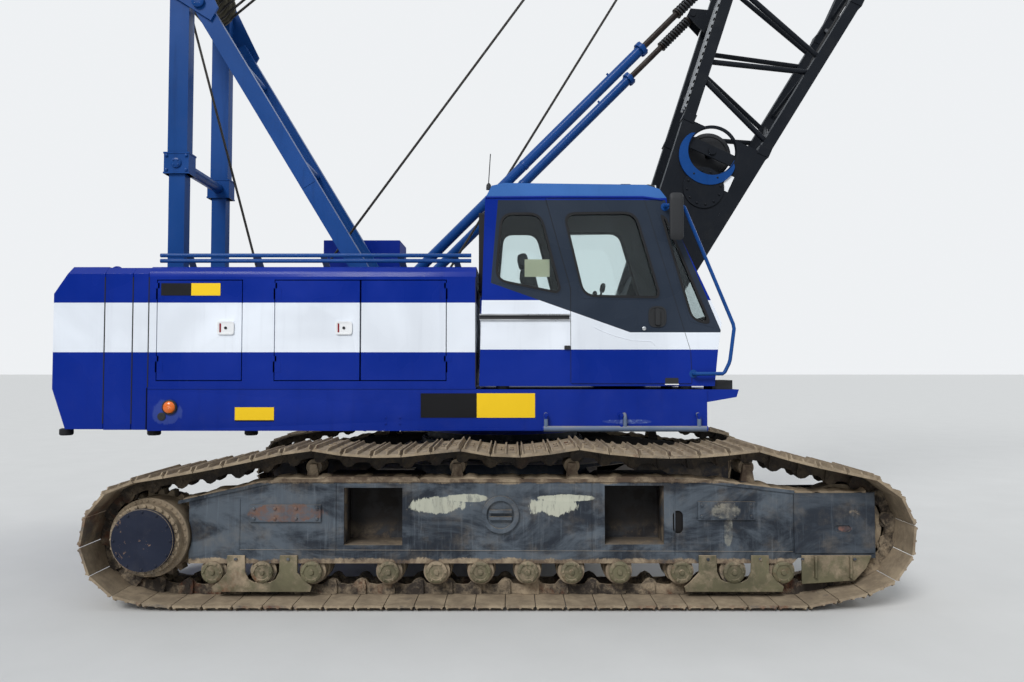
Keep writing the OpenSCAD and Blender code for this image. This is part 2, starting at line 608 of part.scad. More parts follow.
// Cab: the side outline, anticlockwise, seen from the right
CAB = [[-174, cab_z0], [1784, cab_z0], [1816, 1920], [1847, 2136], [1402, 3093], [1395, 3186],
  [1335, 3262], [1227, 3298], [34, 3313], [-70, 3290], [-125, 3186]];
REAR_WINDOW = [[-50, 2486], [479, 2377], [516, 2420], [350, 3068], [0, 3068]];
DOOR_WINDOW = [[686, 2350], [1320, 2336], [1340, 2391], [1140, 3076], [516, 3068]];
CORNER_WINDOW = [[1588, 2158], [1776, 2106], [1395, 3026], [1330, 3062]];
DOOR = [[591, cab_z0 + 20], [1593, cab_z0 + 20], [1585, 1897], [1203, 3180], [383, 3178], [591, 2422]];
cab_in = cab_y_in + cab_wall;
front_tilt = atan2(1402 - 1847, 3093 - 2136);
module cab_shell() {
  inner = inset(CAB, cab_wall);
  color([0.12, 0.25, 0.60]) {
    difference() {
      plate_y(CAB, -half_w, -cab_y_in);
      plate_y(inner, -half_w + cab_wall, -cab_in);
      plate_y(inset(DOOR, -seat), -half_w - 1, -half_w + cab_wall + 1);
      plate_y(REAR_WINDOW, -half_w - 1, -half_w + cab_wall + 1);
      plate_y(CORNER_WINDOW, -half_w - 1, -half_w + cab_wall + 1);
      for (w = [REAR_WINDOW, DOOR_WINDOW]) plate_y(w, -cab_in - 1, -cab_y_in + 1);
      // windscreen, rear window and roof window
      translate([1847, 0, 2136]) rotate([0, front_tilt, 0])
        box(-120, 60, -half_w + 90, -cab_y_in - 90, 70, 980);
      box(-250, -60, -half_w + 160, -cab_y_in - 160, 2420, 3080);
      box(700, 1200, -half_w + 220, -cab_y_in - 220, 3180, 3400);
    }
    // mounting pads
    for (x = [20, 1560]) for (y = [-half_w + 110, -cab_y_in - 110])
      translate([x, y, deck_z1 + seat]) cylinder(h = cab_z0 - deck_z1, r = 55);
  }
}
module cab_door() {
  color([0.12, 0.25, 0.60]) difference() {
    plate_y(DOOR, -half_w - 6, -half_w + cab_wall);
    plate_y(DOOR_WINDOW, -half_w - 10, -half_w + cab_wall + 1);
  }
}
module cab_glass() {
  y = -half_w + cab_wall / 2;
  color([0.5, 0.6, 0.65, 0.4]) {
    for (w = [REAR_WINDOW, DOOR_WINDOW, CORNER_WINDOW])
      plate_y(inset(w, seat), y - glass_t / 2, y + glass_t / 2);
    for (w = [REAR_WINDOW, DOOR_WINDOW])
      plate_y(inset(w, seat), -cab_in + cab_wall / 2 - glass_t / 2, -cab_in + cab_wall / 2 + glass_t / 2);
    translate([1847, 0, 2136]) rotate([0, front_tilt, 0])
      box(-30, -30 + glass_t, -half_w + 90 + seat, -cab_y_in - 90 - seat, 70 + seat, 980 - seat);
    box(-130, -130 + glass_t, -half_w + 160 + seat, -cab_y_in - 160 - seat, 2420 + seat, 3080 - seat);
    box(700 + seat, 1200 - seat, -half_w + 220 + seat, -cab_y_in - 220 - seat, 3270, 3270 + glass_t);
  }
}
// Operator's seat, side consoles and control stand
module cab_interior() {
  mid = -(half_w + cab_y_in) / 2;
  floor_z = cab_z0 + cab_wall + seat;
  color([0.14, 0.14, 0.15]) {
    box(320, 760, mid - 200, mid + 200, floor_z, floor_z + 330);
    box(300, 800, mid - 250, mid + 250, floor_z + 329, floor_z + 450);
    bar_xz([330, floor_z + 449], [170, floor_z + 1100], 110, mid - 230, mid + 230);
    for (s = [-1, 1]) box(420, 900, mid + s * 330 - 60, mid + s * 330 + 60, floor_z, floor_z + 620);
    box(1330, 1560, mid - 240, mid + 240, floor_z, floor_z + 520);
    for (s = [-1, 1]) translate([850, mid + s * 330, floor_z + 619]) cylinder(h = 170, r = 16);
  }
}
// Grab tube, mirror, slide rail, door handle and roof lamp
module cab_fittings() {
  y = -half_w;
  color([0.12, 0.25, 0.60]) {
    for (s = [[[1520, 3110], [1935, 2104]], [[1935, 2104], [1897, 1817]], [[1897, 1817], [1847, 1714]],
        [[1847, 1714], [1606, 1714]]])
      tube_3d([s[0][0], y - 60, s[0][1]], [s[1][0], y - 60, s[1][1]], 16);
    for (p = [[1520, 3110], [1935, 2104], [1897, 1817], [1847, 1714]]) rod_y(p[0], p[1], 21, y - 78, y - 42);
    for (p = [[1380, 3110], [1615, 1714]]) translate([p[0], y - 60, p[1]]) rotate([-90, 0, 0]) cylinder(h = 60, r = 14);
    translate([1366, y - 60, 3110]) rotate([0, 90, 0]) cylinder(h = 160, r = 14);
  }
  color([0.08, 0.08, 0.08]) {
    box(1390, 1500, y - 190, y - 160, 2800, 3195);
    tube_3d([1445, y - 165, 3110], [1445, y - 55, 3110], 11);
  }
  color([0.7, 0.7, 0.7]) box(-174, 380, y - 22, y - seat, 2172, 2206);
  color([0.08, 0.08, 0.08]) box(1230, 1330, y - 34, y - 6 - seat, 2010, 2090);
}

// Gantry: rear posts with collars and heads, front legs down to the deck
HEAD = [post_x - 95, gantry_z - 200];
leg_top = [-2946, 5320];
leg_foot = [-640, 1520];
module gantry_posts() {
  color([0.12, 0.28, 0.62]) {
    for (s = [-1, 1]) translate([post_x, s * gantry_y, 0]) {
      translate([0, 0, (deck_z1 + seat + 3650) / 2]) cube([post_w, leg_t, 3650 - deck_z1 - seat], center = true);
      translate([0, 0, 3745]) cube([sleeve_w + 50, leg_t + 40, 210], center = true);
      translate([0, 0, (3849 + gantry_z - 60) / 2]) cube([sleeve_w, leg_t, gantry_z - 60 - 3849], center = true);
    }
    // head plates and cross tubes
    both_sides() difference() {
      plate_y([[post_x - 95, gantry_z - 300], [leg_top[0] + 120, 5140], [leg_top[0] + 190, 5270],
        [post_x + 110, gantry_z + 130], [post_x - 110, gantry_z + 130]], gantry_y + leg_t / 2, gantry_y + leg_t / 2 + 24);
      rod_y(post_x, gantry_z, 45 + seat, gantry_y, gantry_y + leg_t);
    }
    rod_y(post_x, gantry_z, 45, -gantry_y - leg_t / 2 - 40, gantry_y + leg_t / 2 + 40);
    reach = gantry_y - leg_t / 2 - 20 - seat;
    rod_y(post_x, 3745, 55, -reach, reach);
    both_sides() difference() {
      plate_y([[post_x - 95, gantry_z - 62], [post_x + 95, gantry_z - 62], [post_x + 80, gantry_z + 90],
        [post_x - 80, gantry_z + 90]], gantry_y - leg_t / 2, gantry_y + leg_t / 2);
      rod_y(post_x, gantry_z, 45 + seat, gantry_y - leg_t, gantry_y + leg_t);
    }
  }
}
stop_pivot = [-1170, 2390];
module gantry_legs() {
  d = leg_top - leg_foot;
  a = -atan2(d[1], d[0]);
  color([0.12, 0.28, 0.62]) {
    both_sides() difference() {
      bar_xz(leg_foot, leg_top, leg_w, gantry_y - leg_t / 2, gantry_y + leg_t / 2);
      box(-1500, 200, gantry_y - leg_t, gantry_y + leg_t, 1000, deck_z1 + seat);
      box(post_x - 500, post_x + sleeve_w / 2 + seat, gantry_y - leg_t, gantry_y + leg_t, 3000, 6000);
    }
    reach = gantry_y - leg_t / 2 - seat;
    for (f = [0.62, 0.88]) {
      p = leg_foot + d * f;
      rod_y(p[0], p[1], 45, -reach, reach);
    }
    // backstop pivots on the inner sides
    both_sides() rod_y(stop_pivot[0], stop_pivot[1], 35, stop_y - stop_r - 6, gantry_y - leg_t / 2 + 10);
  }
}

// Boom frame: x runs from the foot pin to the tip, z points to the rear side
module in_boom() {
  translate([foot_x, 0, foot_z]) rotate([0, -boom_angle, 0]) children();
}
function from_boom(s, z) = [foot_x + s * cos(boom_angle) - z * sin(boom_angle),
  foot_z + s * sin(boom_angle) + z * cos(boom_angle)];
chord_s0 = 140;              // where the chords begin
foot_half = 150;            // half depth of the boom at its foot
full_s = 4550;              // where the boom reaches its full depth
joint_s = boom_len / 2;     // joint between base and top
taper_s = boom_len - 3300;  // where the top begins to taper
head_s = boom_len - 420;    // where the head's plates begin
head_half = 300;            // half depth at the head
half_d = boom_depth / 2;
plate_s = 2520;             // end of the solid side plates
function half_at(s) = s < full_s ? foot_half + (half_d - foot_half) * s / full_s
  : s < taper_s ? half_d : half_d - (half_d - head_half) * (s - taper_s) / (head_s - taper_s);
chord_y = boom_w / 2 - chord / 2;
// A length of the two chords on the rear (side 1) or front (side -1), from s0 to s1
module chord_run(s0, s1, side) {
  a = [s0, side * (half_at(s0) - chord / 2)];
  b = [s1, side * (half_at(s1) - chord / 2)];
  for (y = [-chord_y, chord_y]) plate_y([a - [0, chord / 2], b - [0, chord / 2], b + [0, chord / 2],
    a + [0, chord / 2]], y - chord / 2, y + chord / 2);
}
// Side lacing between the rear and front chords, one zigzag from s0 to s1; the left side starts
// where the right side turns
lace_gap = 62;
module side_lacing(s0, s1, bays, first) {
  step = (s1 - s0) / bays;
  for (y = [-chord_y, chord_y]) for (i = [0 : bays - 1]) {
    up = (i + first + (y > 0 ? 1 : 0)) % 2 == 0 ? 1 : -1;
    a = [s0 + i * step + lace_gap, -up * half_at(s0 + i * step + lace_gap)];
    b = [s0 + (i + 1) * step - lace_gap, up * half_at(s0 + (i + 1) * step - lace_gap)];
    intersection() {
      tube_3d([a[0], y, a[1]], [b[0], y, b[1]], lacing_d / 2);
      plate_y([[s0, -half_at(s0) + chord + seat], [s1, -half_at(s1) + chord + seat],
        [s1, half_at(s1) - chord - seat], [s0, half_at(s0) - chord - seat]], y - chord, y + chord);
    }
  }
}
// Lacing on the rear and front faces between the left and right chords
module face_lacing(s0, s1, bays, sides = [-1, 1]) {
  step = (s1 - s0) / bays;
  in = chord_y - chord / 2;
  for (side = sides) for (i = [0 : bays - 1]) {
    left = i % 2 == 0 ? 1 : -1;
    sa = s0 + i * step + lace_gap;
    sb = s0 + (i + 1) * step - lace_gap;
    intersection() {
      tube_3d([sa, -left * (in + 30), side * (half_at(sa) - chord / 2)],
        [sb, left * (in + 30), side * (half_at(sb) - chord / 2)], lacing_d / 2 - 3);
      box(s0 - 200, s1 + 200, -in + seat, in - seat, -half_d - 10, half_d + 10);
    }
  }
}
// Boom drum inside the base section: [s, z, drum radius, flange radius]
boom_drum_at = [2330, 60, 170, 225];
boom_shaft_r = 35;
stop_pin_s = 3927;
module boom_foot() {
  both_sides() difference() {
    union() {
      rod_y(0, 0, 105, boom_w / 2 - 110, boom_w / 2);
      intersection() {
        plate_y([[0, -105], [plate_s, -half_at(plate_s)], [plate_s, half_at(plate_s)], [0, 105]],
          boom_w / 2 - 24, boom_w / 2);
        union() {
          box(-200, chord_s0 - seat, 0, boom_w, -half_d, half_d);
          plate_y([[0, -half_at(0) + chord + seat], [plate_s, -half_at(plate_s) + chord + seat],
            [plate_s, half_at(plate_s) - chord - seat], [0, half_at(0) - chord - seat]], 0, boom_w);
        }
      }
    }
    rod_y(0, 0, foot_pin_r + seat, boom_w / 2 - 200, boom_w / 2 + 10);
    rod_y(boom_drum_at[0], boom_drum_at[1], boom_drum_at[3] + 12, boom_w / 2 - 60, boom_w / 2 + 10);
  }
}
module backstop_lugs() {
  z = half_at(stop_pin_s);
  in = chord_y - chord / 2 - seat;
  both_sides() for (f = [-1, 1]) {
    z0 = f == 1 ? z + seat : z - 30;
    plate_y([[stop_pin_s - 130, z0], [stop_pin_s + 130, z0], [stop_pin_s + 45, z + stop_lug_h + 50],
      [stop_pin_s - 45, z + stop_lug_h + 50]], stop_y + f * lug_off - 9, stop_y + f * lug_off + 9);
  }
  box(stop_pin_s - 140, stop_pin_s + 140, -in, in, z - 100, z - 30 - seat);
  // the pin's heads; the pin itself goes with the rod's eye between the lugs
  both_sides() for (f = [-1, 1])
    translate([stop_pin_s, stop_y + f * (lug_off + 13), z + stop_lug_h]) rotate([90, 0, 0])
      cylinder(h = 10, r = stop_pin_r + 10, center = true);
}
lug_off = stop_r + 22;
stop_pin_r = 20;
stop_lug_h = 158;
module boom_base() {
  color([0.13, 0.14, 0.16]) in_boom() {
    for (side = [-1, 1]) {
      chord_run(chord_s0, full_s - seat / 2, side);
      chord_run(full_s + seat / 2, joint_s - seat, side);
    }
    boom_foot();
    side_lacing(plate_s + 40, full_s, 4, 0);
    side_lacing(full_s, joint_s - 40, 3, 0);
    face_lacing(plate_s + 60, joint_s - 60, 6, [-1]);
    face_lacing(plate_s + 60, stop_pin_s - 180, 2, [1]);
    face_lacing(stop_pin_s + 180, joint_s - 60, 3, [1]);
    // cross plates that close the base
    in = chord_y - chord / 2 - seat;
    for (side = [-1, 1]) translate([0, 0, side * (half_at(850) - 60)]) box(700, 1000, -in, in, -15, 15);
    backstop_lugs();
    // drum shaft and its guard
    rod_y(boom_drum_at[0], boom_drum_at[1], boom_shaft_r, -boom_w / 2 + 4, boom_w / 2 - 4);
    both_sides() difference() {
      union() {
        difference() {
          rod_y(boom_drum_at[0], boom_drum_at[1], boom_drum_at[3] + 34, boom_w / 2 - 44, boom_w / 2 - 22);
          rod_y(boom_drum_at[0], boom_drum_at[1], boom_drum_at[3] + 6, boom_w / 2 - 50, boom_w / 2);
        }
        translate([boom_drum_at[0], boom_w / 2 - 33, boom_drum_at[1]])
          cube([110, 22, 2 * boom_drum_at[3] + 30], center = true);
      }
      rod_y(boom_drum_at[0], boom_drum_at[1], boom_shaft_r + seat, boom_w / 2 - 60, boom_w / 2);
    }
    both_sides() rod_y(1960, -10, 200, boom_w / 2 - 2, boom_w / 2 + 14);
  }
}
module boom_top() {
  color([0.13, 0.14, 0.16]) in_boom() {
    for (side = [-1, 1]) {
      chord_run(joint_s + seat, taper_s - seat / 2, side);
      chord_run(taper_s + seat / 2, head_s - 150 - seat, side);
    }
    side_lacing(joint_s + 40, taper_s, 6, 0);
    side_lacing(taper_s, head_s - 60, 5, 0);
    face_lacing(joint_s + 60, head_s - 60, 10);
    // head plates with the sheave shaft
    both_sides() difference() {
      union() {
        plate_y([[head_s - 150, -head_half], [boom_len - 60, tip_z - 160], [boom_len + 110, tip_z - 60],
          [boom_len + 110, tip_z + 80], [boom_len - 60, head_half - 20], [head_s - 150, head_half]],
          head_in, head_in + head_t);
        // block that the chords end on, and the pendant's boss
        plate_y([[head_s - 150, -head_half], [head_s, -head_half], [head_s, head_half], [head_s - 150, head_half]],
          head_in, boom_w / 2);
        rod_y(stay_s, stay_z, 75, head_in, stay_y - socket_half - seat);
        // ears of the rope guide roller
        plate_y([[head_s - 150, head_half - 10], [head_s, head_half - 10], [guide[0] + 50, guide[1] + 50],
          [guide[0] - 50, guide[1] + 50]], head_in, head_in + head_t);
      }
      rod_y(boom_len, tip_z, tip_pin_r + seat, head_in - 5, head_in + head_t + 5);
      rod_y(head_s + 60, 0, 40 + seat, head_in - 5, boom_w);
      rod_y(jib_s, jib_z, jib_pin_r, head_in - 5, head_in + head_t + 5);
    }
    rod_y(guide[0], guide[1], guide_r, -head_in + seat, head_in - seat);
    rod_y(boom_len, tip_z, tip_pin_r, -head_in - head_t - 20, head_in + head_t + 20);
    rod_y(head_s + 60, 0, 40, -head_in - head_t - 20, head_in + head_t + 20);
  }
}
tip_z = -200;
// Bores in the head plates for the foot pins of a jib
jib_s = boom_len - 60;
jib_z = -10;
jib_pin_r = 25;
tip_pin_r = 55;
head_in = 395;
head_t = 30;
stay_s = boom_len - 190;
stay_z = 250;
stay_y = boom_w / 2 + 60;
socket_half = 30;
// Roller on the rear side of the head that the hoist lines run over
guide = [head_s - 60, head_half + 150];
guide_r = 120;
module boom_drum() {
  d = boom_drum_at;
  color([0.08, 0.08, 0.09]) in_boom() difference() {
    union() {
      rod_y(d[0], d[1], d[2], -360, 360);
      for (s = [-1, 1]) rod_y(d[0], d[1], d[3], s * 350 - 14, s * 350 + 14);
    }
    rod_y(d[0], d[1], boom_shaft_r + seat, -400, 400);
  }
}
// A sheave with a rope groove, in the plane y = 0
module sheave(r, bore, w) {
  rotate([90, 0, 0]) rotate_extrude($fn = 64)
    polygon([[bore, -w / 2 - 8], [bore + 30, -w / 2 - 8], [bore + 34, -w / 4], [r - 46, -w / 4], [r - 30, -w / 2],
      [r, -w / 2], [r - groove_d, -w / 8], [r - groove_d, w / 8], [r, w / 2], [r - 30, w / 2], [r - 46, w / 4],
      [bore + 34, w / 4], [bore + 30, w / 2 + 8], [bore, w / 2 + 8]]);
}
TIP_SHEAVES = [-240, -130, 130, 240];
module tip_sheaves() {
  color([0.5, 0.45, 0.2]) in_boom() translate([boom_len, 0, tip_z]) {
    for (y = TIP_SHEAVES) translate([0, y, 0]) sheave(tip_sheave_r, tip_pin_r + seat, 56);
    difference() {
      union() {
        rod_y(0, 0, tip_pin_r + 24, -275, 275);
      }
      rod_y(0, 0, tip_pin_r + seat, -280, 280);
    }
  }
}

// Stays: gantry sheaves, bridle and pendants on the line from gantry head to boom tip
gantry_pin = [post_x, gantry_z];
stay_pin = from_boom(stay_s, stay_z);
stay_len = norm(stay_pin - gantry_pin);
stay_angle = atan2(stay_pin[1] - gantry_pin[1], stay_pin[0] - gantry_pin[0]);
bridle_at = 2300;
STAY_SHEAVES = [-300, -180, -60, 60, 180, 300];
module in_stay() {
  translate([gantry_pin[0], 0, gantry_pin[1]]) rotate([0, -stay_angle, 0]) children();
}
module gantry_sheaves() {
  color([0.12, 0.28, 0.62]) in_stay() {
    for (y = STAY_SHEAVES) translate([0, y, 0]) sheave(220, 45 + seat, 50);
    difference() {
      rod_y(0, 0, 70, -335, 335);
      rod_y(0, 0, 45 + seat, -340, 340);
    }
  }
}
module bridle() {
  color([0.12, 0.28, 0.62]) in_stay() translate([bridle_at, 0, 0]) {
    for (y = STAY_SHEAVES) translate([0, y, 0]) sheave(190, 44, 50);
    rod_y(0, 0, 44 + seat, -420, 420);
    rod_y(0, 0, 70, -330, 330);
    both_sides() plate_y([[-120, -60], [60, -110], [470, -80], [470, 80], [60, 110], [-120, 60]], 370, 398);
    translate([390, 0, 0]) cube([130, 2 * (stay_y - socket_half), 130], center = true);
  }
}
module pendants() {
  start = bridle_at + 400;
  color([0.25, 0.25, 0.26]) in_stay() both_sides() {
    translate([start, stay_y, 0]) rotate([0, 90, 0]) cylinder(h = stay_len - start - 60, r = 19);
    for (x = [start - 60, stay_len - 330]) translate([x, stay_y - socket_half, -45]) cube([280, 2 * socket_half, 90]);
    rod_y(stay_len, 0, 75, stay_y - socket_half, stay_y + socket_half);
    translate([stay_len - 100, stay_y - socket_half, -45]) cube([100, 2 * socket_half, 90]);
    translate([(start + stay_len) / 2 - 160, stay_y - socket_half, -50]) cube([320, 2 * socket_half, 100]);
  }
}

// Backstops: tubes on the gantry legs, rods with springs up to the boom
stop_pin = from_boom(stop_pin_s, half_at(stop_pin_s) + stop_lug_h);
stop_len = norm(stop_pin - stop_pivot);
stop_angle = atan2(stop_pin[1] - stop_pivot[1], stop_pin[0] - stop_pivot[0]);
stop_tube_len = 3640;
module in_stop() {
  translate([stop_pivot[0], 0, stop_pivot[1]]) rotate([0, -stop_angle, 0]) children();
}
module tube_x(x0, x1, y, r) {
  translate([x0, y, 0]) rotate([0, 90, 0]) cylinder(h = x1 - x0, r = r);
}
module backstop_tubes() {
  color([0.12, 0.30, 0.70]) in_stop() both_sides() difference() {
    union() {
      tube_x(60, stop_tube_len, stop_y, stop_r);
      tube_x(stop_tube_len - 46, stop_tube_len, stop_y, stop_r + 24);
      rod_y(0, 0, 72, stop_y - stop_r + 8, stop_y + stop_r - 8);
    }
    tube_x(200, stop_tube_len + 10, stop_y, stop_rod_r + 1);
    rod_y(0, 0, 35 + seat, stop_y - 80, stop_y + 80);
  }
}
spring_len = 390;
spring_end = 70;
rod_in = 1500;
module backstop_rods() {
  color([0.15, 0.13, 0.12]) in_stop() both_sides() {
    tube_x(stop_tube_len - rod_in, stop_len - 34, stop_y, stop_rod_r);
    for (k = [0 : 9]) let(x = stop_len - spring_end - spring_len + k * spring_len / 10)
      tube_x(x, x + 0.55 * spring_len / 10, stop_y, stop_r + 6);
    rod_y(stop_len, 0, 44, stop_y - stop_r + 4, stop_y + stop_r - 4);
    rod_y(stop_len, 0, stop_pin_r, stop_y - stop_r - 8, stop_y + stop_r + 8);
  }
}

// Hoist: a hanger on the sheave shaft carries the limit weight; the block hangs under it
tip_pin = from_boom(boom_len, tip_z);
groove_d = 26;
fall_x = tip_pin[0] + tip_sheave_r - groove_d + rope_r + seat;
fall_y = TIP_SHEAVES[2];
second_y = TIP_SHEAVES[3];
hanger_y = 330;
weight_z = tip_pin[1] - 1350;
end_z = weight_z - 520;
end_r = 80;
module becket_hanger() {
  color([0.75, 0.6, 0.1]) {
    both_sides() difference() {
      union() {
        rod_y(tip_pin[0], tip_pin[1], 90, hanger_y, hanger_y + 20);
        bar_xz(tip_pin, [fall_x + 60, tip_pin[1] - 520], 70, hanger_y, hanger_y + 20);
      }
      rod_y(tip_pin[0], tip_pin[1], tip_pin_r + seat, hanger_y - 10, hanger_y + 40);
    }
    rod_y(fall_x + 60, tip_pin[1] - 520, 26, -hanger_y - 5, hanger_y + 5);
    for (y = [-175, 175]) translate([fall_x + 60, y, weight_z + 10]) cylinder(h = 830, r = 9);
    difference() {
      translate([fall_x + 20, 0, weight_z - 50]) cube([150, 2 * fall_y + 120, 140], center = true);
      for (s = [-1, 1]) translate([fall_x, s * fall_y, weight_z - 200]) cylinder(h = 300, r = rope_r + 22);
    }
    // parked weight at the end of the second line
    translate([fall_x, second_y, end_z]) {
      cylinder(h = tip_pin[1] - end_z, r = rope_r);
      cylinder(h = 200, r = end_r);
      translate([0, 0, 199]) cylinder(h = 120, r1 = end_r, r2 = 26);
      translate([0, 0, -79]) cylinder(h = 80, r1 = 30, r2 = end_r);
    }
  }
}
block_r = fall_y + groove_d - rope_r - seat;
module hook_block() {
  color([0.75, 0.6, 0.1]) {
    translate([fall_x, 0, block_z]) rotate([0, 0, 90]) {
      sheave_w = 60;
      sheave(block_r, 36, sheave_w);
      rod_y(0, 0, 36.5, -110, 110);
      both_sides() plate_y([[-230, -120], [-150, -330], [150, -330], [230, -120], [230, 120], [120, 235],
        [-120, 235], [-230, 120]], 52, 84);
      difference() {
        translate([0, 0, -330]) cube([260, 200, 110], center = true);
        translate([0, 0, -400]) cylinder(h = 140, r = 42 + seat);
      }
    }
    // the two falls up to the tip sheaves
    for (s = [-1, 1]) translate([fall_x, s * fall_y, block_z]) cylinder(h = tip_pin[1] - block_z, r = rope_r);
  }
}
hook_z = block_z - 385;
module hook() {
  color([0.2, 0.2, 0.2]) translate([fall_x, 0, hook_z]) {
    translate([0, 0, -20]) cylinder(h = 110, r = 42);
    translate([0, 0, -60]) cylinder(h = 60, r = 70);
    // the hook's bowl: a ring that is open at one side, with a straight shank
    translate([0, 0, -60 - 180]) rotate([90, 0, 0]) {
      rotate([0, 0, 80]) rotate_extrude(angle = 285, $fn = 40) translate([118, 0]) circle(r = 46);
    }
    translate([0, 0, -130]) cylinder(h = 80, r = 46);
  }
}

// Hoist lines from the drums to the guide roller, each in two lengths side by side
guide_pin = from_boom(guide[0], guide[1]);
guide_rope_r = guide_r + rope_r + seat;
drum_rope_gap = 60;
// Ends of the line that touches both circles on their upper rear side
function line_ends(d) =
  let(c = [d[0], d[1]], r = d[2] + drum_rope_gap + rope_r + seat, v = guide_pin - c,
    a = atan2(v[1], v[0]) + acos((r - guide_rope_r) / norm(v)), n = [cos(a), sin(a)])
  [c + n * r, guide_pin + n * guide_rope_r];
module line_part(d, y, f0, f1) {
  ends = line_ends(d);
  v = ends[1] - ends[0];
  a = ends[0] + v * f0;
  b = ends[0] + v * f1;
  color([0.2, 0.2, 0.2]) tube_3d([a[0], y, a[1]], [b[0], y, b[1]], rope_r);
}
beside = 2 * rope_r + seat;
line_end = 0.968;
module main_line_lower() { line_part(MAIN_DRUM, beside - fall_y, 0, 0.62); }
module main_line_upper() { line_part(MAIN_DRUM, -fall_y, 0.38, line_end); }
module second_line_lower() { line_part(SECOND_DRUM, second_y - beside, 0, 0.62); }
module second_line_upper() { line_part(SECOND_DRUM, second_y, 0.38, line_end); }

carbody();
swing_ring();
side_frame_right();
side_frame_left();
track_right();
track_left();
sprockets();
idlers();
track_rollers();
roller_guards();
deck();
counterweight();
house_right();
house_left();
engine();
exhaust_hood();
handrails();
door_right_rear();
door_right_middle();
door_right_front();
door_left_rear();
door_left_middle();
door_left_front();
cab_shell();
cab_door();
cab_glass();
cab_interior();
cab_fittings();
gantry_posts();
gantry_legs();
main_drum();
second_drum();
luffing_drum();
boom_base();
boom_top();
boom_drum();
tip_sheaves();
gantry_sheaves();
bridle();
pendants();
backstop_tubes();
backstop_rods();
becket_hanger();
hook_block();
hook();
main_line_lower();
main_line_upper();
second_line_lower();
second_line_upper();
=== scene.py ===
"""Looks of the crawler crane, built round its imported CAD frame.

Run by Blender as a script. Each operator below makes one group of pieces, and
main() calls them in order. X is forward, Y the machine's left and Z up, in metres.
"""

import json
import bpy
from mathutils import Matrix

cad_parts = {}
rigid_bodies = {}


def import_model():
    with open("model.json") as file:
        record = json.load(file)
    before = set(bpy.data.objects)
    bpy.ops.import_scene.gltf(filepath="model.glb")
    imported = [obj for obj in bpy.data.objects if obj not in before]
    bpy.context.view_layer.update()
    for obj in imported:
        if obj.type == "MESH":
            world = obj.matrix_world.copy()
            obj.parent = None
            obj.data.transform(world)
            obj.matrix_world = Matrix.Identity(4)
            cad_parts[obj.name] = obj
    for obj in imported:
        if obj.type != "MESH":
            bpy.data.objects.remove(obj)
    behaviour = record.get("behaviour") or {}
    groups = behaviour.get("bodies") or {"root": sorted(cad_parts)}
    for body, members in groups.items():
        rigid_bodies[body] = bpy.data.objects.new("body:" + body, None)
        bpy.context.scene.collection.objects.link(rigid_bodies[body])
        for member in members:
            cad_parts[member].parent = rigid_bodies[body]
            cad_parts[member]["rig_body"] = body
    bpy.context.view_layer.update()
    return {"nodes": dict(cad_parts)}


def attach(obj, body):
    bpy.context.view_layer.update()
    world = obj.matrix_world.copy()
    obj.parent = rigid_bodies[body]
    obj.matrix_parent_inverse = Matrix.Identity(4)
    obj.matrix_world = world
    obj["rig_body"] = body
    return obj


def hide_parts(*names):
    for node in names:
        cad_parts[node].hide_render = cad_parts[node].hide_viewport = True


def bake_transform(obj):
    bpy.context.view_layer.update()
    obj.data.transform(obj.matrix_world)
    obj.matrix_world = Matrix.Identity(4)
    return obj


bl_info = {
    "name": "Crawler Crane Looks",
    "version": (1, 0, 0),
    "blender": (4, 5, 0),
    "location": "View3D > Sidebar > Crane",
    "description": "Builds the visible surfaces of a crawler crane round its CAD frame",
    "category": "Add Mesh",
}

from contextlib import contextmanager
from math import acos, atan2, cos, pi, radians, sin

import bmesh
import bpy
import numpy as np

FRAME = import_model()

# Places that part.scad fixes, in metres. A pair is (x, z) and a list of pairs is an outline
HALF_W = 1.6
TRACK_Y = 2.0
FRAME_FACE = 2.2
IDLER, SPROCKET = np.array([2.6, 0.55]), np.array([-2.6, 0.5])
BOOM_FOOT, BOOM_ANGLE, BOOM_LEN = np.array([1.13, 1.75]), radians(65), 13.0
GANTRY_HEAD, STAY_ANGLE = (-3.14, 5.70), radians(39.3901)
LEG_FOOT, LEG_HEAD = np.array([-0.640, 1.520]), np.array([-2.946, 5.320])
STOP_PIVOT, STOP_ANGLE, STOP_LEN = np.array([-1.17, 2.39]), radians(44.996), 4.5963
STOP_Y = 0.4
TIP = np.array([6.80530, 13.44748])
FALL_X, BLOCK_Z, FALL_Y = 7.1226, 10.4, 0.13
ROLLER_Z = 0.2387
ROLLER_X = [-2.135, -1.764, -1.396, -0.821, -0.464, -0.135, 0.217, 0.544, 0.902, 1.365, 1.756, 2.123]
DRUMS = {  # x, z, radius of the barrel and radius of the flanges
    "main_drum": (-1.90, 2.16, 0.230, 0.360),
    "second_drum": (-0.62, 2.16, 0.230, 0.360),
    "luffing_drum": (-2.62, 2.06, 0.170, 0.280),
}
SHEAVE_R, WHEEL_R = 0.2073, 0.1773  # to the rope's centre on the gantry's and the bridle's sheaves
LAP = 0.0733  # from a drum's barrel to the centre of the rope that leaves it
GROOVE = 0.0133  # from the floor of a groove to the centre of the rope in it
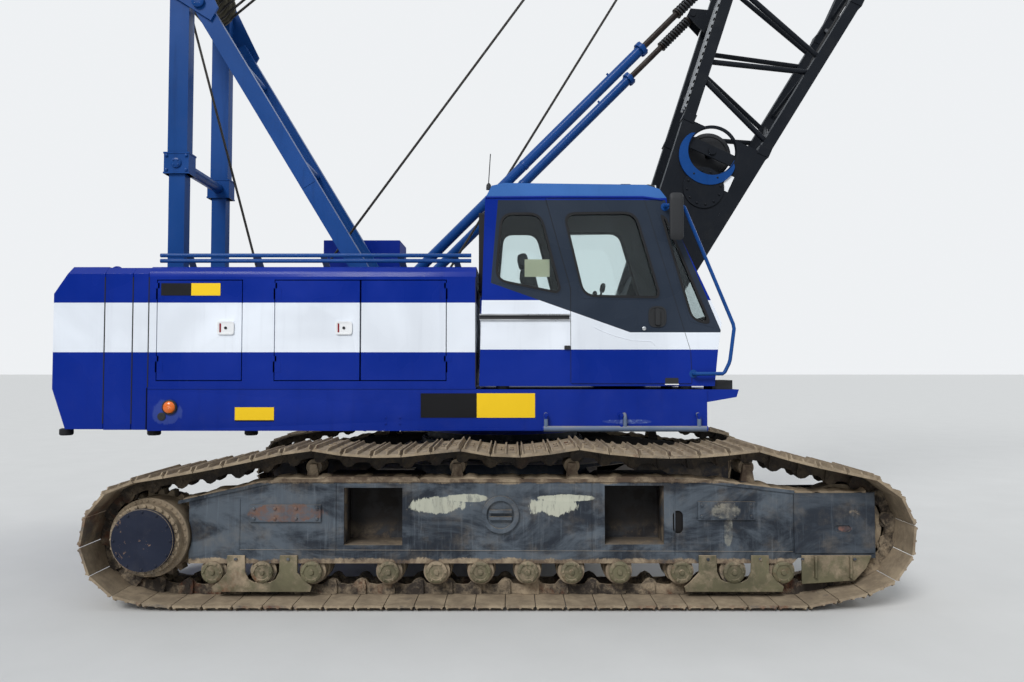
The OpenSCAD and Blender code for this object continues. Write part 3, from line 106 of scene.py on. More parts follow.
# Free edge of each house door whose latch is drawn, by its place
LATCH_EDGES = {"rear": -2.153, "middle": -1.170, "front": None}
SIDES = {"right": -1, "left": 1}
BOTH = (-1, 1)
REAR_WINDOW = [(-0.050, 2.486), (0.479, 2.377), (0.516, 2.420), (0.350, 3.068), (0.0, 3.068)]
DOOR_WINDOW = [(0.686, 2.350), (1.320, 2.336), (1.340, 2.391), (1.140, 3.076), (0.516, 3.068)]
CORNER_WINDOW = [(1.588, 2.158), (1.776, 2.106), (1.395, 3.026), (1.330, 3.062)]
CAB_DOOR = [(0.591, 1.632), (1.593, 1.632), (1.585, 1.897), (1.203, 3.180), (0.383, 3.178), (0.591, 2.422)]
CAB_LEFT, LEFT_SEAL = -0.6015, (-0.640, -0.594)  # the cab's left face, and how deep its seals reach
SEAT_Y, CAB_FLOOR = -1.1, 1.6573

# Directions
AHEAD, LEFT, RIGHT, UP = (1, 0, 0), (0, 1, 0), (0, -1, 0), (0, 0, 1)


# ---------------------------------------------------------------- settings
def colour(name, description, default):
    return bpy.props.FloatVectorProperty(name=name, description=description, subtype="COLOR",
                                         size=3, min=0, max=1, default=default)


def length(name, description, default, low=0.0, high=1.0):
    return bpy.props.FloatProperty(name=name, description=description, default=default,
                                   min=low, max=high, subtype="DISTANCE", unit="LENGTH")


class CraneColours(bpy.types.PropertyGroup):
    body_blue: colour("Body blue", "Paint of deck, houses and cab", (0.0012, 0.019, 0.235))
    tube_blue: colour("Tube blue", "Paint of gantry, backstops and rails", (0.005, 0.050, 0.205))
    band_white: colour("Band white", "Band along the houses and the cab", (0.720, 0.760, 0.820))
    panel_grey: colour("Window panel grey", "Area round the cab's side windows", (0.024, 0.033, 0.050))
    frame_grey: colour("Side frame grey", "Worn paint of the side frames", (0.078, 0.095, 0.115))
    frame_dark: colour("Side frame touch-up", "Darker repainted patches", (0.016, 0.021, 0.030))
    frame_pale: colour("Side frame filler", "Pale patches beside the middle lug", (0.450, 0.455, 0.370))
    guard_green: colour("Guard paint", "Roller guards and roller caps", (0.150, 0.137, 0.080))
    boom_black: colour("Boom paint", "Lattice boom", (0.007, 0.009, 0.013))
    mud: colour("Dried mud", "Mud on the tracks", (0.365, 0.290, 0.200))
    rust: colour("Rust", "Rust on steel", (0.190, 0.070, 0.030))
    steel: colour("Worn steel", "Bare cast steel", (0.130, 0.115, 0.100))
    hook_yellow: colour("Block paint", "Hook block and limit weight", (0.520, 0.370, 0.040))
    dust: colour("Dust", "Dust on upward faces", (0.360, 0.320, 0.260))


class CraneSizes(bpy.types.PropertyGroup):
    edge: length("Plate edge", "Rounding of plate edges", 0.004, 0.001, 0.02)
    gasket: length("Window gasket", "Width of a window's rubber seal", 0.024, 0.01, 0.04)
    band_low: length("Band underside", "Lower edge of the white band", 1.893, 1.7, 2.1)
    band_high: length("Band top", "Upper edge of the white band", 2.306, 2.1, 2.5)
    rope: length("Rope radius", "Radius of a hoist rope", 0.013, 0.008, 0.02)


def colours():
    return bpy.context.scene.crane_colours


def sizes():
    return bpy.context.scene.crane_sizes


# ---------------------------------------------------------------- outlines
def unit(v):
    v = np.asarray(v, float)
    return v / np.linalg.norm(v)


def local_axes(direction):
    """Two unit vectors square to direction and to each other."""
    d = unit(direction)
    helper = np.array(LEFT) if abs(d[1]) < 0.9 else np.array(AHEAD)
    a = unit(np.cross(helper, d))
    return a, np.cross(d, a)


def ring(r, n):
    """Points of a circle in the plane."""
    t = np.linspace(0, 2 * pi, n, endpoint=False)
    return np.stack([np.cos(t), np.sin(t)], 1) * r


def spokes(axis, n):
    """Unit vectors square to the axis, evenly round it."""
    a, b = local_axes(axis)
    q = ring(1.0, n)
    return q[:, :1] * a + q[:, 1:] * b


def xz(points, y):
    """Points of the XZ plane put at one y."""
    p = np.asarray(points, float).reshape(-1, 2)
    return np.stack([p[:, 0], np.full(len(p), y), p[:, 1]], 1)


def rounded(outline, r, n=6):
    """An outline with each corner replaced by an arc that starts at most r from it."""
    q = np.asarray(outline, float)
    out = []
    for a, c, b in zip(np.roll(q, 1, 0), q, np.roll(q, -1, 0)):
        da, db = np.linalg.norm(a - c), np.linalg.norm(b - c)
        s = min(r, da * 0.45, db * 0.45)
        p0, p1 = c + (a - c) / da * s, c + (b - c) / db * s
        t = np.linspace(0, 1, n)[:, None]
        out.append(p0 * (1 - t) ** 2 + 2 * c * t * (1 - t) + p1 * t * t)
    return np.concatenate(out)


def rect(x0, z0, x1, z1, r=0.0):
    """An anticlockwise rectangle between two corners, rounded by r."""
    q = [(x0, z0), (x1, z0), (x1, z1), (x0, z1)]
    return rounded(q, r) if r else q


def offset(outline, d):
    """An anticlockwise outline moved outwards by d along its corner bisectors."""
    q = np.asarray(outline, float)
    e = np.roll(q, -1, 0) - q
    e /= np.linalg.norm(e, axis=1)[:, None]
    normal = np.stack([e[:, 1], -e[:, 0]], 1)
    prior = np.roll(normal, 1, 0)
    bis = normal + prior
    bis /= (1 + (normal * prior).sum(1))[:, None]
    return q + bis * d


def shrunk(outline, share):
    """An outline scaled about the mean of its points."""
    mid = outline.mean(0)
    return mid + (outline - mid) * share


def arc(centre, r, a0, a1, n):
    """Points of an arc in the XZ plane, angles in radians."""
    t = np.linspace(a0, a1, n)
    return np.stack([centre[0] + r * np.cos(t), centre[1] + r * np.sin(t)], 1)


def tangent(c1, r1, c2, r2, side):
    """Ends of the straight line that touches two circles on the same side (1 is left of the way
    from c1 to c2), and the angle at which it leaves them."""
    c1, c2 = np.asarray(c1, float), np.asarray(c2, float)
    v = c2 - c1
    a = atan2(v[1], v[0]) + side * acos((r1 - r2) / np.linalg.norm(v))
    n = np.array([cos(a), sin(a)])
    return c1 + n * r1, c2 + n * r2, a


def straight(a, b, n):
    """Points evenly along the line from a to b."""
    t = np.linspace(0, 1, n)[:, None]
    return np.asarray(a, float) * (1 - t) + np.asarray(b, float) * t


def along(base, angle, y=0.0):
    """A turn that puts a shape's X along a line in the XZ plane that starts at base."""
    c, s = cos(angle), sin(angle)
    return lambda p: np.stack([base[0] + p[:, 0] * c - p[:, 2] * s, y + p[:, 1],
                               base[1] + p[:, 0] * s + p[:, 2] * c], 1)


in_boom = along(BOOM_FOOT, BOOM_ANGLE)


# ---------------------------------------------------------------- shapes
@contextmanager
def edited(mesh):
    """The mesh as a bmesh, written back at the end."""
    b = bmesh.new()
    b.from_mesh(mesh)
    yield b
    b.to_mesh(mesh)
    b.free()


class Shape:
    """One mesh gathered from grids and extruded outlines. Each face keeps a material number."""

    def __init__(self):
        self.points, self.faces, self.mats, self.count = [], [], [], 0

    def add(self, points, faces, mat=0):
        """More faces. mat is one material number, or a list with one for each face."""
        points = np.asarray(points, float).reshape(-1, 3)
        self.points.append(points)
        self.mats += mat if isinstance(mat, list) else [mat] * len(faces)
        self.faces += [tuple(int(i) + self.count for i in f) for f in faces]
        self.count += len(points)
        return self

    def grid(self, p, round_u=False, round_v=True, caps=True, mat=0):
        """Quads over a grid of points p[u, v]; caps close the first and last row with one face each."""
        m, n = p.shape[:2]
        u, v = np.meshgrid(np.arange(m - (not round_u)), np.arange(n - (not round_v)), indexing="ij")
        u, v = u.ravel(), v.ravel()
        u1, v1 = (u + 1) % m, (v + 1) % n
        faces = np.stack([u * n + v, u * n + v1, u1 * n + v1, u1 * n + v], 1).tolist()
        if caps:
            faces += [list(range(n))[::-1], [(m - 1) * n + i for i in range(n)]]
        return self.add(p, faces, mat)

    def tube(self, path, r, n=12, mat=0):
        """A round tube along the path, turned as little as possible."""
        path = np.asarray(path, float)
        ahead = np.roll(path, -1, 0) - np.roll(path, 1, 0)
        ahead[0], ahead[-1] = path[1] - path[0], path[-1] - path[-2]
        ahead /= np.linalg.norm(ahead, axis=1)[:, None]
        a, rows = local_axes(ahead[0])[0], []
        for t in ahead:
            a = unit(a - t * (a @ t))
            rows.append(a)
        a, q = np.array(rows), ring(r, n)
        b = np.cross(ahead, a)
        return self.grid(path[:, None] + a[:, None] * q[None, :, :1] + b[:, None] * q[None, :, 1:], mat=mat)

    def lathe(self, profile, at, axis, n=28, mat=0):
        """A profile of (radius, height) turned round the axis through at."""
        profile = np.asarray(profile, float)
        p = (np.asarray(at, float) + profile[:, 0, None, None] * spokes(axis, n)[None]
             + profile[:, 1, None, None] * unit(axis))
        return self.grid(p, mat=mat)

    def plate(self, outline, y0, y1, mat=0):
        """An XZ outline extruded from y0 to y1."""
        return self.grid(np.stack([xz(outline, y) for y in (y0, y1)]), mat=mat)

    def block(self, low, high, mat=0):
        """A right block between two corners."""
        return self.plate(rect(low[0], low[2], high[0], high[2]), low[1], high[1], mat)

    def frame(self, inner, outer, y0, y1, mat=0):
        """A flat ring between two outlines with the same number of points, from y0 to y1."""
        p = np.stack([xz(inner, y0), xz(outer, y0), xz(outer, y1), xz(inner, y1)])
        return self.grid(p, round_u=True, caps=False, mat=mat)

    def swelling(self, outline, rows, mat=0):
        """An XZ outline carried through rows of (y, share of its size)."""
        return self.grid(np.array([xz(shrunk(outline, k), y) for y, k in rows]), mat=mat)

    def cushion(self, low, high, r=0.04, mat=0):
        """A padded block whose edges and ends are drawn in."""
        y0, y1 = low[1], high[1]
        rows = ((y0, 0.80), (y0 + r * 0.3, 0.93), (y0 + r, 1.0), (y1 - r, 1.0), (y1 - r * 0.3, 0.93), (y1, 0.80))
        return self.swelling(rect(low[0], low[2], high[0], high[2], r * 1.6), rows, mat)

    def bar(self, a, b, width, height, up=LEFT, mat=0):
        """A square-cut bar from a to b, width across and height along up."""
        a, b = np.asarray(a, float), np.asarray(b, float)
        d = unit(b - a)
        w = unit(np.cross(d, up))
        h = np.cross(w, d)
        corners = rect(-1, -1, 1, 1)
        return self.grid(np.array([[e + w * width / 2 * i + h * height / 2 * j for i, j in corners]
                                   for e in (a, b)]), mat=mat)

    def bolts(self, places, axis, r, h, mat=0):
        """Hexagon heads with a low dome, at many places on one plane."""
        s, up = spokes(axis, 6), unit(axis)
        rows = np.array([s * r, s * r + up * h * 0.8, s * r * 0.62 + up * h])
        for c in np.asarray(places, float).reshape(-1, 3):
            self.grid(rows + c, mat=mat)
        return self

    def bolt_ring(self, centre, axis, r, n, size, height, mat=0, start=0.0):
        """Bolt heads on a circle square to one of the three main directions."""
        t = np.arange(n) * 2 * pi / n + start
        places = np.tile(np.asarray(centre, float), (n, 1))
        i, j = [k for k in range(3) if not axis[k]]
        places[:, i] += r * np.cos(t)
        places[:, j] += r * np.sin(t)
        return self.bolts(places, axis, size, height, mat)

    def copies(self, base, frames):
        """Many copies of a small shape. frames holds, for each copy, its origin and its three axes."""
        p = np.concatenate(base.points)
        placed = frames[:, None, 0] + np.einsum("pi,kij->kpj", p, frames[:, 1:])
        faces = [tuple(i + k * len(p) for i in f) for k in range(len(frames)) for f in base.faces]
        return self.add(placed, faces, base.mats * len(frames))

    def take(self, other):
        """The faces of another shape added to this one."""
        return self.add(np.concatenate(other.points), other.faces, other.mats)

    def mirrored(self):
        """The same shape again on the other side of the machine."""
        return self.add(np.concatenate(self.points) * (1, -1, 1), [f[::-1] for f in self.faces], list(self.mats))

    def moved(self, turn):
        """Every point put through a function of the whole array."""
        self.points = [turn(np.concatenate(self.points))]
        return self

    def mesh(self, name, mats):
        """The shape as a mesh. mats names its materials, in the order of their numbers."""
        mesh = bpy.data.meshes.new(name)
        mesh.from_pydata(np.concatenate(self.points).tolist(), [], self.faces)
        mesh.polygons.foreach_set("material_index", np.minimum(self.mats, use_materials(mesh, mats) - 1))
        return mesh

    def make(self, name, body, mats, slot, smooth=40, bevel=0.0, replaces=()):
        """The finished piece on its body, with outward faces."""
        mesh = self.mesh(name, mats)
        with edited(mesh) as b:
            bmesh.ops.remove_doubles(b, verts=b.verts, dist=1e-5)
            bmesh.ops.recalc_face_normals(b, faces=b.faces)
        finish_piece(mesh, name, body, bevel, smooth, replaces)


def use_materials(mesh, names):
    """Gives a mesh the materials of a spaced list of names; returns how many."""
    for key in names.split():
        mesh.materials.append(MATERIALS[key])
    return len(mesh.materials)


def in_scene(name, data):
    """A new object with this mesh, lamp or camera."""
    o = bpy.data.objects.new(name, data)
    bpy.context.scene.collection.objects.link(o)
    return o


def finish_piece(mesh, name, body, bevel, smooth, replaces, between=None):
    """Puts a mesh into the scene on its body, or with no body and its place baked in when between is given, and hides
    the nodes it replaces.
    """
    mesh.polygons.foreach_set("use_smooth", [True] * len(mesh.polygons))
    mesh.set_sharp_from_angle(angle=radians(smooth))
    o = in_scene(name, mesh)
    if bevel:
        m = o.modifiers.new("edge", "BEVEL")
        m.width, m.segments, m.limit_method = bevel, 2, "ANGLE"
        m.angle_limit, m.harden_normals = radians(38), True
    if between:
        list(between)
        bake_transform(o)
    else:
        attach(o, body)
    if replaces:
        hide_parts(*replaces)


def dress(node, mat, bevel=None, flat=None):
    """A merged copy of a CAD node with rounded edges. flat is the furthest from the middle plane
    that any point may lie, which presses hinges into their wall."""
    source = FRAME["nodes"][node]
    mesh = source.data.copy()
    mesh.name = node + "_skin"
    mesh.materials.clear()
    use_materials(mesh, mat)
    mesh.polygons.foreach_set("material_index", [0] * len(mesh.polygons))
    if flat:
        place = np.empty(len(mesh.vertices) * 3)
        mesh.vertices.foreach_get("co", place)
        place[1::3] = np.clip(place[1::3], -flat, flat)
        mesh.vertices.foreach_set("co", place)
    with edited(mesh) as b:
        bmesh.ops.remove_doubles(b, verts=b.verts, dist=2e-5)
        bmesh.ops.dissolve_degenerate(b, edges=b.edges, dist=2e-5)
        bmesh.ops.dissolve_limit(b, angle_limit=radians(0.7), verts=b.verts, edges=b.edges)
    edge = sizes().edge if bevel is None else bevel
    finish_piece(mesh, mesh.name, source["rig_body"], edge, 30, (node,))


def rope(name, path, body, between=None, replaces=()):
    """A round rope with a UV map: U runs in metres along it and V goes once round it."""
    path, n = np.asarray(path, float), 10
    mesh = Shape().tube(path, sizes().rope, n).mesh(name, "rope")
    run = np.concatenate([[0], np.cumsum(np.linalg.norm(np.diff(path, axis=0), axis=1))])
    with edited(mesh) as b:
        bmesh.ops.recalc_face_normals(b, faces=b.faces)
        layer = b.loops.layers.uv.new("rope")
        for f in b.faces:
            turn = [l.vert.index % n for l in f.loops]
            wrap = len(turn) == 4 and 0 in turn and n - 1 in turn
            for l, k in zip(f.loops, turn):
                l[layer].uv = (run[l.vert.index // n], (k + (n if wrap and k == 0 else 0)) / n)
    finish_piece(mesh, name, body, 0.0, 50, replaces, between)


# ---------------------------------------------------------------- materials
class Signal:
    """A socket of a node tree. Python's signs on it add math nodes."""

    def __init__(self, tree, socket):
        self.tree, self.socket = tree, socket

    def __add__(self, other):
        return self.tree.math("ADD", self, other)

    def __sub__(self, other):
        return self.tree.math("SUBTRACT", self, other)

    def __rsub__(self, other):
        return self.tree.math("SUBTRACT", other, self)

    def __mul__(self, other):
        return self.tree.math("MULTIPLY", self, other)

    def __truediv__(self, other):
        return self.tree.math("DIVIDE", self, other)

    def __gt__(self, other):
        return self.tree.math("GREATER_THAN", self, other)

    def __lt__(self, other):
        return self.tree.math("LESS_THAN", self, other)

    def __abs__(self):
        return self.tree.math("ABSOLUTE", self)

    def most(self, other):
        return self.tree.math("MAXIMUM", self, other)


class Tree:
    """Short calls for a node tree."""

    def __init__(self, tree):
        self.tree = tree

    def node(self, kind, **values):
        n = self.tree.nodes.new(kind)
        for k, v in values.items():
            setattr(n, k, v)
        return n

    def link(self, a, b):
        """A signal, a socket, a number or a colour put into the socket b."""
        a = getattr(a, "socket", a)
        if isinstance(a, bpy.types.NodeSocket):
            self.tree.links.new(a, b)
        else:
            b.default_value = (*a, 1) if b.type == "RGBA" else a

    def fed(self, node, values, out=0):
        """The output of a node after its inputs, by number or name, got their values."""
        for k, v in values.items():
            self.link(v, node.inputs[k])
        return Signal(self, node.outputs[out])

    def math(self, op, a, b=0.0, clamp=False):
        return self.fed(self.node("ShaderNodeMath", operation=op, use_clamp=clamp), {0: a, 1: b})

    def mix(self, share, a, b, blend="MIX"):
        return self.fed(self.node("ShaderNodeMix", data_type="RGBA", blend_type=blend), {0: share, 6: a, 7: b}, 2)

    def between(self, value, low, high, out_low=0.0, out_high=1.0):
        """value from low to high, smoothly, as out_low to out_high."""
        n = self.node("ShaderNodeMapRange", interpolation_type="SMOOTHSTEP")
        return self.fed(n, dict(enumerate((value, low, high, out_low, out_high))))

    def place(self):
        return self.node("ShaderNodeTexCoord").outputs["Object"]

    def scaled(self, vector, scale):
        return self.fed(self.node("ShaderNodeMapping"), {"Vector": vector, "Scale": scale})

    def noise(self, vector, scale, detail=4.0, rough=0.55, bend=0.0):
        return self.fed(self.node("ShaderNodeTexNoise"), {"Vector": vector, "Scale": scale, "Detail": detail,
                                                          "Roughness": rough, "Distortion": bend}, "Fac")

    def xyz(self, vector):
        n = self.node("ShaderNodeSeparateXYZ")
        self.link(vector, n.inputs[0])
        return [Signal(self, s) for s in n.outputs]

    def facing_up(self):
        return self.xyz(self.node("ShaderNodeNewGeometry").outputs["Normal"])[2]

    def group(self, name, **values):
        """The outputs of a node group, by name. An underscore stands for a space."""
        g = self.node("ShaderNodeGroup", node_tree=bpy.data.node_groups[name])
        self.fed(g, {k.replace("_", " "): v for k, v in values.items()})
        return {s.name: Signal(self, s) for s in g.outputs}

    def patch(self, x, z, half_length, half_height, ragged):
        return self.group("Painted patch", Centre_X=x, Centre_Z=z, Half_length=half_length,
                          Half_height=half_height, Ragged=ragged)["Mask"]


def new_group(name, inputs, outputs=("Colour", "Roughness", "Height")):
    """A node group with named sockets; returns its tree helper, its inputs and its output node."""
    g = bpy.data.node_groups.new(name, "ShaderNodeTree")
    for label, value in inputs.items():
        tint = isinstance(value, tuple)
        s = g.interface.new_socket(label, in_out="INPUT", socket_type="NodeSocket" + ("Color" if tint else "Float"))
        s.default_value = (*value, 1) if tint else value
    for label in outputs:
        kind = "Color" if label == "Colour" else "Float"
        g.interface.new_socket(label, in_out="OUTPUT", socket_type="NodeSocket" + kind)
    t = Tree(g)
    values = {s.name: Signal(t, s) for s in t.node("NodeGroupInput").outputs}
    return t, values, t.node("NodeGroupOutput").inputs


def paint_wear_group():
    """Sun-faded paint: broad fading, streaks that run down, chips to a primer colour, and dust on upward faces."""
    t, i, o = new_group("Paint wear", {
        "Colour": (0.1, 0.1, 0.1), "Chip colour": (0.3, 0.3, 0.3), "Dust colour": (0.36, 0.32, 0.26),
        "Fade": 0.3, "Streaks": 0.3, "Chips": 0.3, "Dust": 0.3, "Base roughness": 0.35})
    p = t.place()
    broad = t.between(t.noise(p, 0.9, 3, 0.6, 0.6), 0.35, 0.7)
    pale = t.mix(0.02, t.mix(1.0, i["Colour"], (1.7, 1.7, 1.7), "MULTIPLY"), (0.75, 0.80, 0.90))
    c = t.mix(broad * i["Fade"], i["Colour"], pale)
    run = t.between(t.noise(t.scaled(p, (7, 7, 0.55)), 1.6, 5, 0.6), 0.5, 0.78)
    c = t.mix(run * i["Streaks"], c, t.mix(1.0, i["Colour"], (0.45, 0.45, 0.48), "MULTIPLY"))
    limit = t.between(t.noise(p, 1.7, 3, 0.6), 0.42, 0.66, 0.06, 0.0) + 0.80 - i["Chips"] * 0.14
    chip = t.between(t.noise(p, 24, 6, 0.72, 0.8) - limit, 0.0, 0.012)
    c = t.mix(chip, c, i["Chip colour"])
    soil = t.between(t.noise(p, 3.1, 6, 0.65, 0.3), 0.3, 0.62, 0.35, 1.0)
    lying = t.between(t.facing_up(), 0.25, 0.9) * soil
    film = t.between(t.noise(p, 5.0, 7, 0.7), 0.46, 0.74, 0.0, 0.30)
    dust = t.math("MULTIPLY", t.math("ADD", lying, film, clamp=True), i["Dust"], clamp=True)
    t.link(t.mix(dust, c, i["Dust colour"]), o["Colour"])
    rough = t.math("ADD", i["Base roughness"], dust * 0.5, clamp=True)
    t.link(t.math("ADD", rough, t.between(broad, 0, 1, 0.0, 0.08), clamp=True), o["Roughness"])
    t.link(t.noise(p, 2.4, 2) * 0.35 - chip * 0.12, o["Height"])


def mud_steel_group():
    """Cast steel under dried mud: bare worn metal, rust patches and a crumbly mud layer."""
    t, i, o = new_group("Mud and steel", {
        "Steel colour": (0.13, 0.11, 0.1), "Mud colour": (0.33, 0.25, 0.16), "Rust colour": (0.25, 0.09, 0.03),
        "Mud": 0.6, "Rust": 0.4, "Grain": 14.0})
    p = t.place()
    tone = t.between(t.noise(p, 2.3, 5, 0.65, 0.4), 0.3, 0.7)
    steel = t.mix(tone, t.mix(0.5, i["Steel colour"], (0.02, 0.016, 0.013)), i["Steel colour"])
    rust = t.between(t.noise(p, 3.6, 7, 0.7, 0.7) + i["Rust"] * 0.3, 0.62, 0.78)
    c = t.mix(rust * 0.85, steel, t.mix(t.noise(p, 30, 3), i["Rust colour"], (0.10, 0.035, 0.018)))
    crumbs = t.noise(p, i["Grain"], 8, 0.72, 0.25)
    heap = crumbs * 0.45 + t.noise(p, 1.9, 5, 0.6) * 0.55
    mud = t.between(heap + t.between(t.facing_up(), -0.2, 1.0) * 0.10 + i["Mud"] * 0.36, 0.60, 0.76)
    wet = t.mix(0.45, i["Mud colour"], (0.05, 0.035, 0.025))
    shade = t.mix(t.between(t.noise(p, 6.5, 6, 0.7), 0.35, 0.7), wet, i["Mud colour"])
    t.link(t.mix(mud, c, shade), o["Colour"])
    t.link(t.between(mud, 0, 1, 0.55, 0.92), o["Roughness"])
    t.link(mud * 0.6 + crumbs * 0.5, o["Height"])


def patch_group():
    """A soft-edged patch on a side face: 1 inside an ellipse whose rim is broken by noise."""
    t, i, o = new_group("Painted patch", {"Centre X": 0.0, "Centre Z": 0.0, "Half length": 0.3,
                                          "Half height": 0.1, "Ragged": 0.5}, ["Mask"])
    p = t.place()
    x, _, z = t.xyz(p)
    u = (x - i["Centre X"]) / i["Half length"]
    v = (z - i["Centre Z"]) / i["Half height"]
    n = t.noise(t.scaled(p, (1, 1, 0.35)), 13, 6, 0.7, 0.4)
    d = t.math("SQRT", u * u + v * v) + (n - 0.5) * (i["Ragged"] * 3.0)
    t.link(t.between(d, 0.9, 1.06, 1.0, 0.0), o["Mask"])


def material(name, bump=0.25, step=0.004, metallic=0.0, coat=0.0, sheen=0.25, **more):
    """The tree helper of a new material, and a function that wires its shader and returns the material."""
    m = bpy.data.materials.new(name)
    m.use_nodes = True
    t = Tree(m.node_tree)
    shader = m.node_tree.nodes["Principled BSDF"]
    t.fed(shader, {"Metallic": metallic, "Coat Weight": coat, "Coat Roughness": 0.12,
                   "Specular IOR Level": sheen, **more})

    def wire(colour_out, rough_out, height_out=None):
        t.fed(shader, {"Base Color": colour_out, "Roughness": rough_out})
        if height_out is not None:
            t.link(t.fed(t.node("ShaderNodeBump"), {"Strength": bump, "Distance": step, "Height": height_out}),
                   shader.inputs["Normal"])
        return m
    return t, wire


def worn(t, base, chip, dust_colour, fade, streaks, chips, dust, rough):
    """Colour, roughness and height of worn paint over a base colour."""
    return t.group("Paint wear", Colour=base, Chip_colour=chip, Dust_colour=dust_colour, Fade=fade, Streaks=streaks,
                   Chips=chips, Dust=dust, Base_roughness=rough).values()


def painted(name, base, chip=(0.35, 0.36, 0.36), fade=0.35, streaks=0.3, chips=0.3, dust=0.25,
            rough=0.3, bump=0.12, marks=()):
    """Plain painted steel in one colour. marks are rubbed places: centre X and Z, half sizes and strength."""
    t, wire = material(name, bump=bump, coat=0.05, sheen=0.12)
    for *spot, share in marks:
        scratched = t.between(t.noise(t.scaled(t.place(), (1, 1, 2.5)), 26, 6, 0.75), 0.5, 0.62, 0.08, share)
        base = t.mix(t.patch(*spot, 0.45) * scratched, base, (0.36, 0.48, 0.66))
    return wire(*worn(t, base, chip, colours().dust, fade, streaks, chips, dust, rough))


def band_paint(name, cab=False):
    """Blue paint with the white band, and a strip of painted shade along its foot. On the cab the window area is
    dark above a slanted line, the roof is painted paler as a highlight and the inside is grey."""
    c, s = colours(), sizes()
    t, wire = material(name, bump=0.08, coat=0.06, sheen=0.11)
    x, y, z = t.xyz(t.place())
    low, high = (1.9155, 2.327) if cab else (s.band_low, s.band_high)
    base = t.mix((z > low) * (z < high), c.body_blue, c.band_white)
    # Near-black blue along the foot of the houses and the cab, above the deck, is painted shade.
    base = t.mix((z < 1.596) * (x > -2.94), base, (0.002, 0.005, 0.03))
    if cab:
        slant, rear, nose = 2.4443 - x * 0.3565, z * 0.085 - 0.287, 2.705 - z * 0.4175
        side = (y < -HALF_W + 0.0015).most(y > CAB_LEFT)
        dark = (z > slant.most(2.058)) * (z < 3.168) * (x > rear) * (x < nose) * side
        # The cab's roof, above 3.185 m, is painted paler blue as a painted highlight.
        base = t.mix(z > 3.185, base, (0.045, 0.140, 0.400))
        base = t.mix(dark, base, c.panel_grey)
        inside = (y > -HALF_W + 0.012) * (y < -0.612) * (z < 3.25)
        base = t.mix(inside * (x < 2.77 - z * 0.4653) * (x > -0.09), base, (0.05, 0.055, 0.06))
    return wire(*worn(t, base, (0.30, 0.33, 0.38), c.dust, 0.25, 0.12, 0.30, 0.02, 0.26))


def frame_paint():
    """Side frame: worn grey-blue, dark touch-ups, pale filler beside the lug, rust on the bolted
    plates, mud below and on top, and shade in the openings."""
    c = colours()
    t, wire = material("side_frame_paint", bump=0.35, step=0.003)
    p = t.place()
    x, y, z = t.xyz(p)
    off = abs(y)
    tone = t.noise(t.scaled(p, (1, 1, 2.2)), 1.5, 7, 0.68, 0.8)
    base = t.mix(t.between(tone, 0.40, 0.60), c.frame_dark, c.frame_grey)
    drips = t.between(t.noise(t.scaled(p, (24, 24, 1.6)), 1.7, 6, 0.7), 0.52, 0.74, 0.0, 0.32)
    base = t.mix(drips, base, (0.17, 0.20, 0.23))
    base = t.mix(t.between(x, 2.205, 2.212, 0.0, 0.45), base, c.frame_dark)
    rubbed = t.between(t.noise(t.scaled(p, (1, 1, 0.25)), 34, 5, 0.7), 0.30, 0.50, 0.45, 0.95)
    for spot in ((-0.44, 0.730, 0.20, 0.060, 0.62), (-0.24, 0.785, 0.17, 0.030, 0.35),
                 (0.40, 0.725, 0.19, 0.065, 0.62), (0.50, 0.785, 0.22, 0.026, 0.35)):
        base = t.mix(t.patch(*spot) * rubbed, base, c.frame_pale)
    broken = t.between(t.noise(p, 13, 7, 0.7), 0.38, 0.62, 0.1, 0.8)
    for *spot, tint in ((-1.595, 0.674, 0.29, 0.070, (0.150, 0.070, 0.042)),
                        (1.70, 0.69, 0.10, 0.06, (0.24, 0.23, 0.19)),
                        (1.72, 0.54, 0.035, 0.11, (0.22, 0.22, 0.19)),
                        (2.59, 0.56, 0.050, 0.022, (0.20, 0.095, 0.070))):
        base = t.mix(t.patch(*spot, 0.35) * broken, base, tint)
    out, rough, height = worn(t, base, (0.45, 0.45, 0.42), c.mud, 0.2, 0.45, 0.55, 0.55, 0.5)
    crumbs = t.noise(p, 5.5, 8, 0.72, 0.3)
    edge = t.between(z, 0.310, 0.365, 0.62, 0.0).most(t.between(z, 0.875, 0.925, 0.0, 1.0))
    mask = t.between(edge * 0.55 + crumbs, 0.66, 0.80)
    mask = mask.most(t.between(off, 2.17, 2.199, 1.0, 0.0) * t.between(crumbs, 0.40, 0.56, 0.15, 0.85))
    out = t.mix(mask, out, t.mix(t.between(crumbs, 0.4, 0.7), (0.10, 0.07, 0.05), c.mud))
    deep = t.between(off, 1.955, 2.19, 1.0, 0.0) * t.between(z, 0.44, 0.60, 0.60, 1.0)
    slot = t.patch(1.343, 0.607, 0.06, 0.13, 0.0) * (off < 2.1985)
    out = t.mix((deep * 0.975).most(slot), out, (0.006, 0.005, 0.005))
    return wire(out, rough.most(mask * 0.9), height + mask * 0.4)


def muddy(name, steel, mud_amount, rust_amount, grain=14.0, bump=0.6, metallic=0.0, grease_and_shade_above=None):
    """Steel under mud and rust. Above a height, where one is given, it is darkened, partly for old grease and partly as
    painted shade under the track shoes.
    """
    c = colours()
    t, wire = material(name, bump=bump, step=0.006, metallic=metallic)
    out, rough, height = t.group("Mud and steel", Steel_colour=steel, Mud_colour=c.mud, Rust_colour=c.rust,
                                 Mud=mud_amount, Rust=rust_amount, Grain=grain).values()
    if grease_and_shade_above is not None:
        # Above the given height the colour is darkened: old grease, plus painted shade where the upper run lies under
        # the shoes.
        grease_and_shade = t.between(t.xyz(t.place())[2], grease_and_shade_above - 0.2, grease_and_shade_above + 0.1, 0.0, 0.80)
        out = t.mix(grease_and_shade, out, (0.018, 0.014, 0.011))
    return wire(out, rough, height)


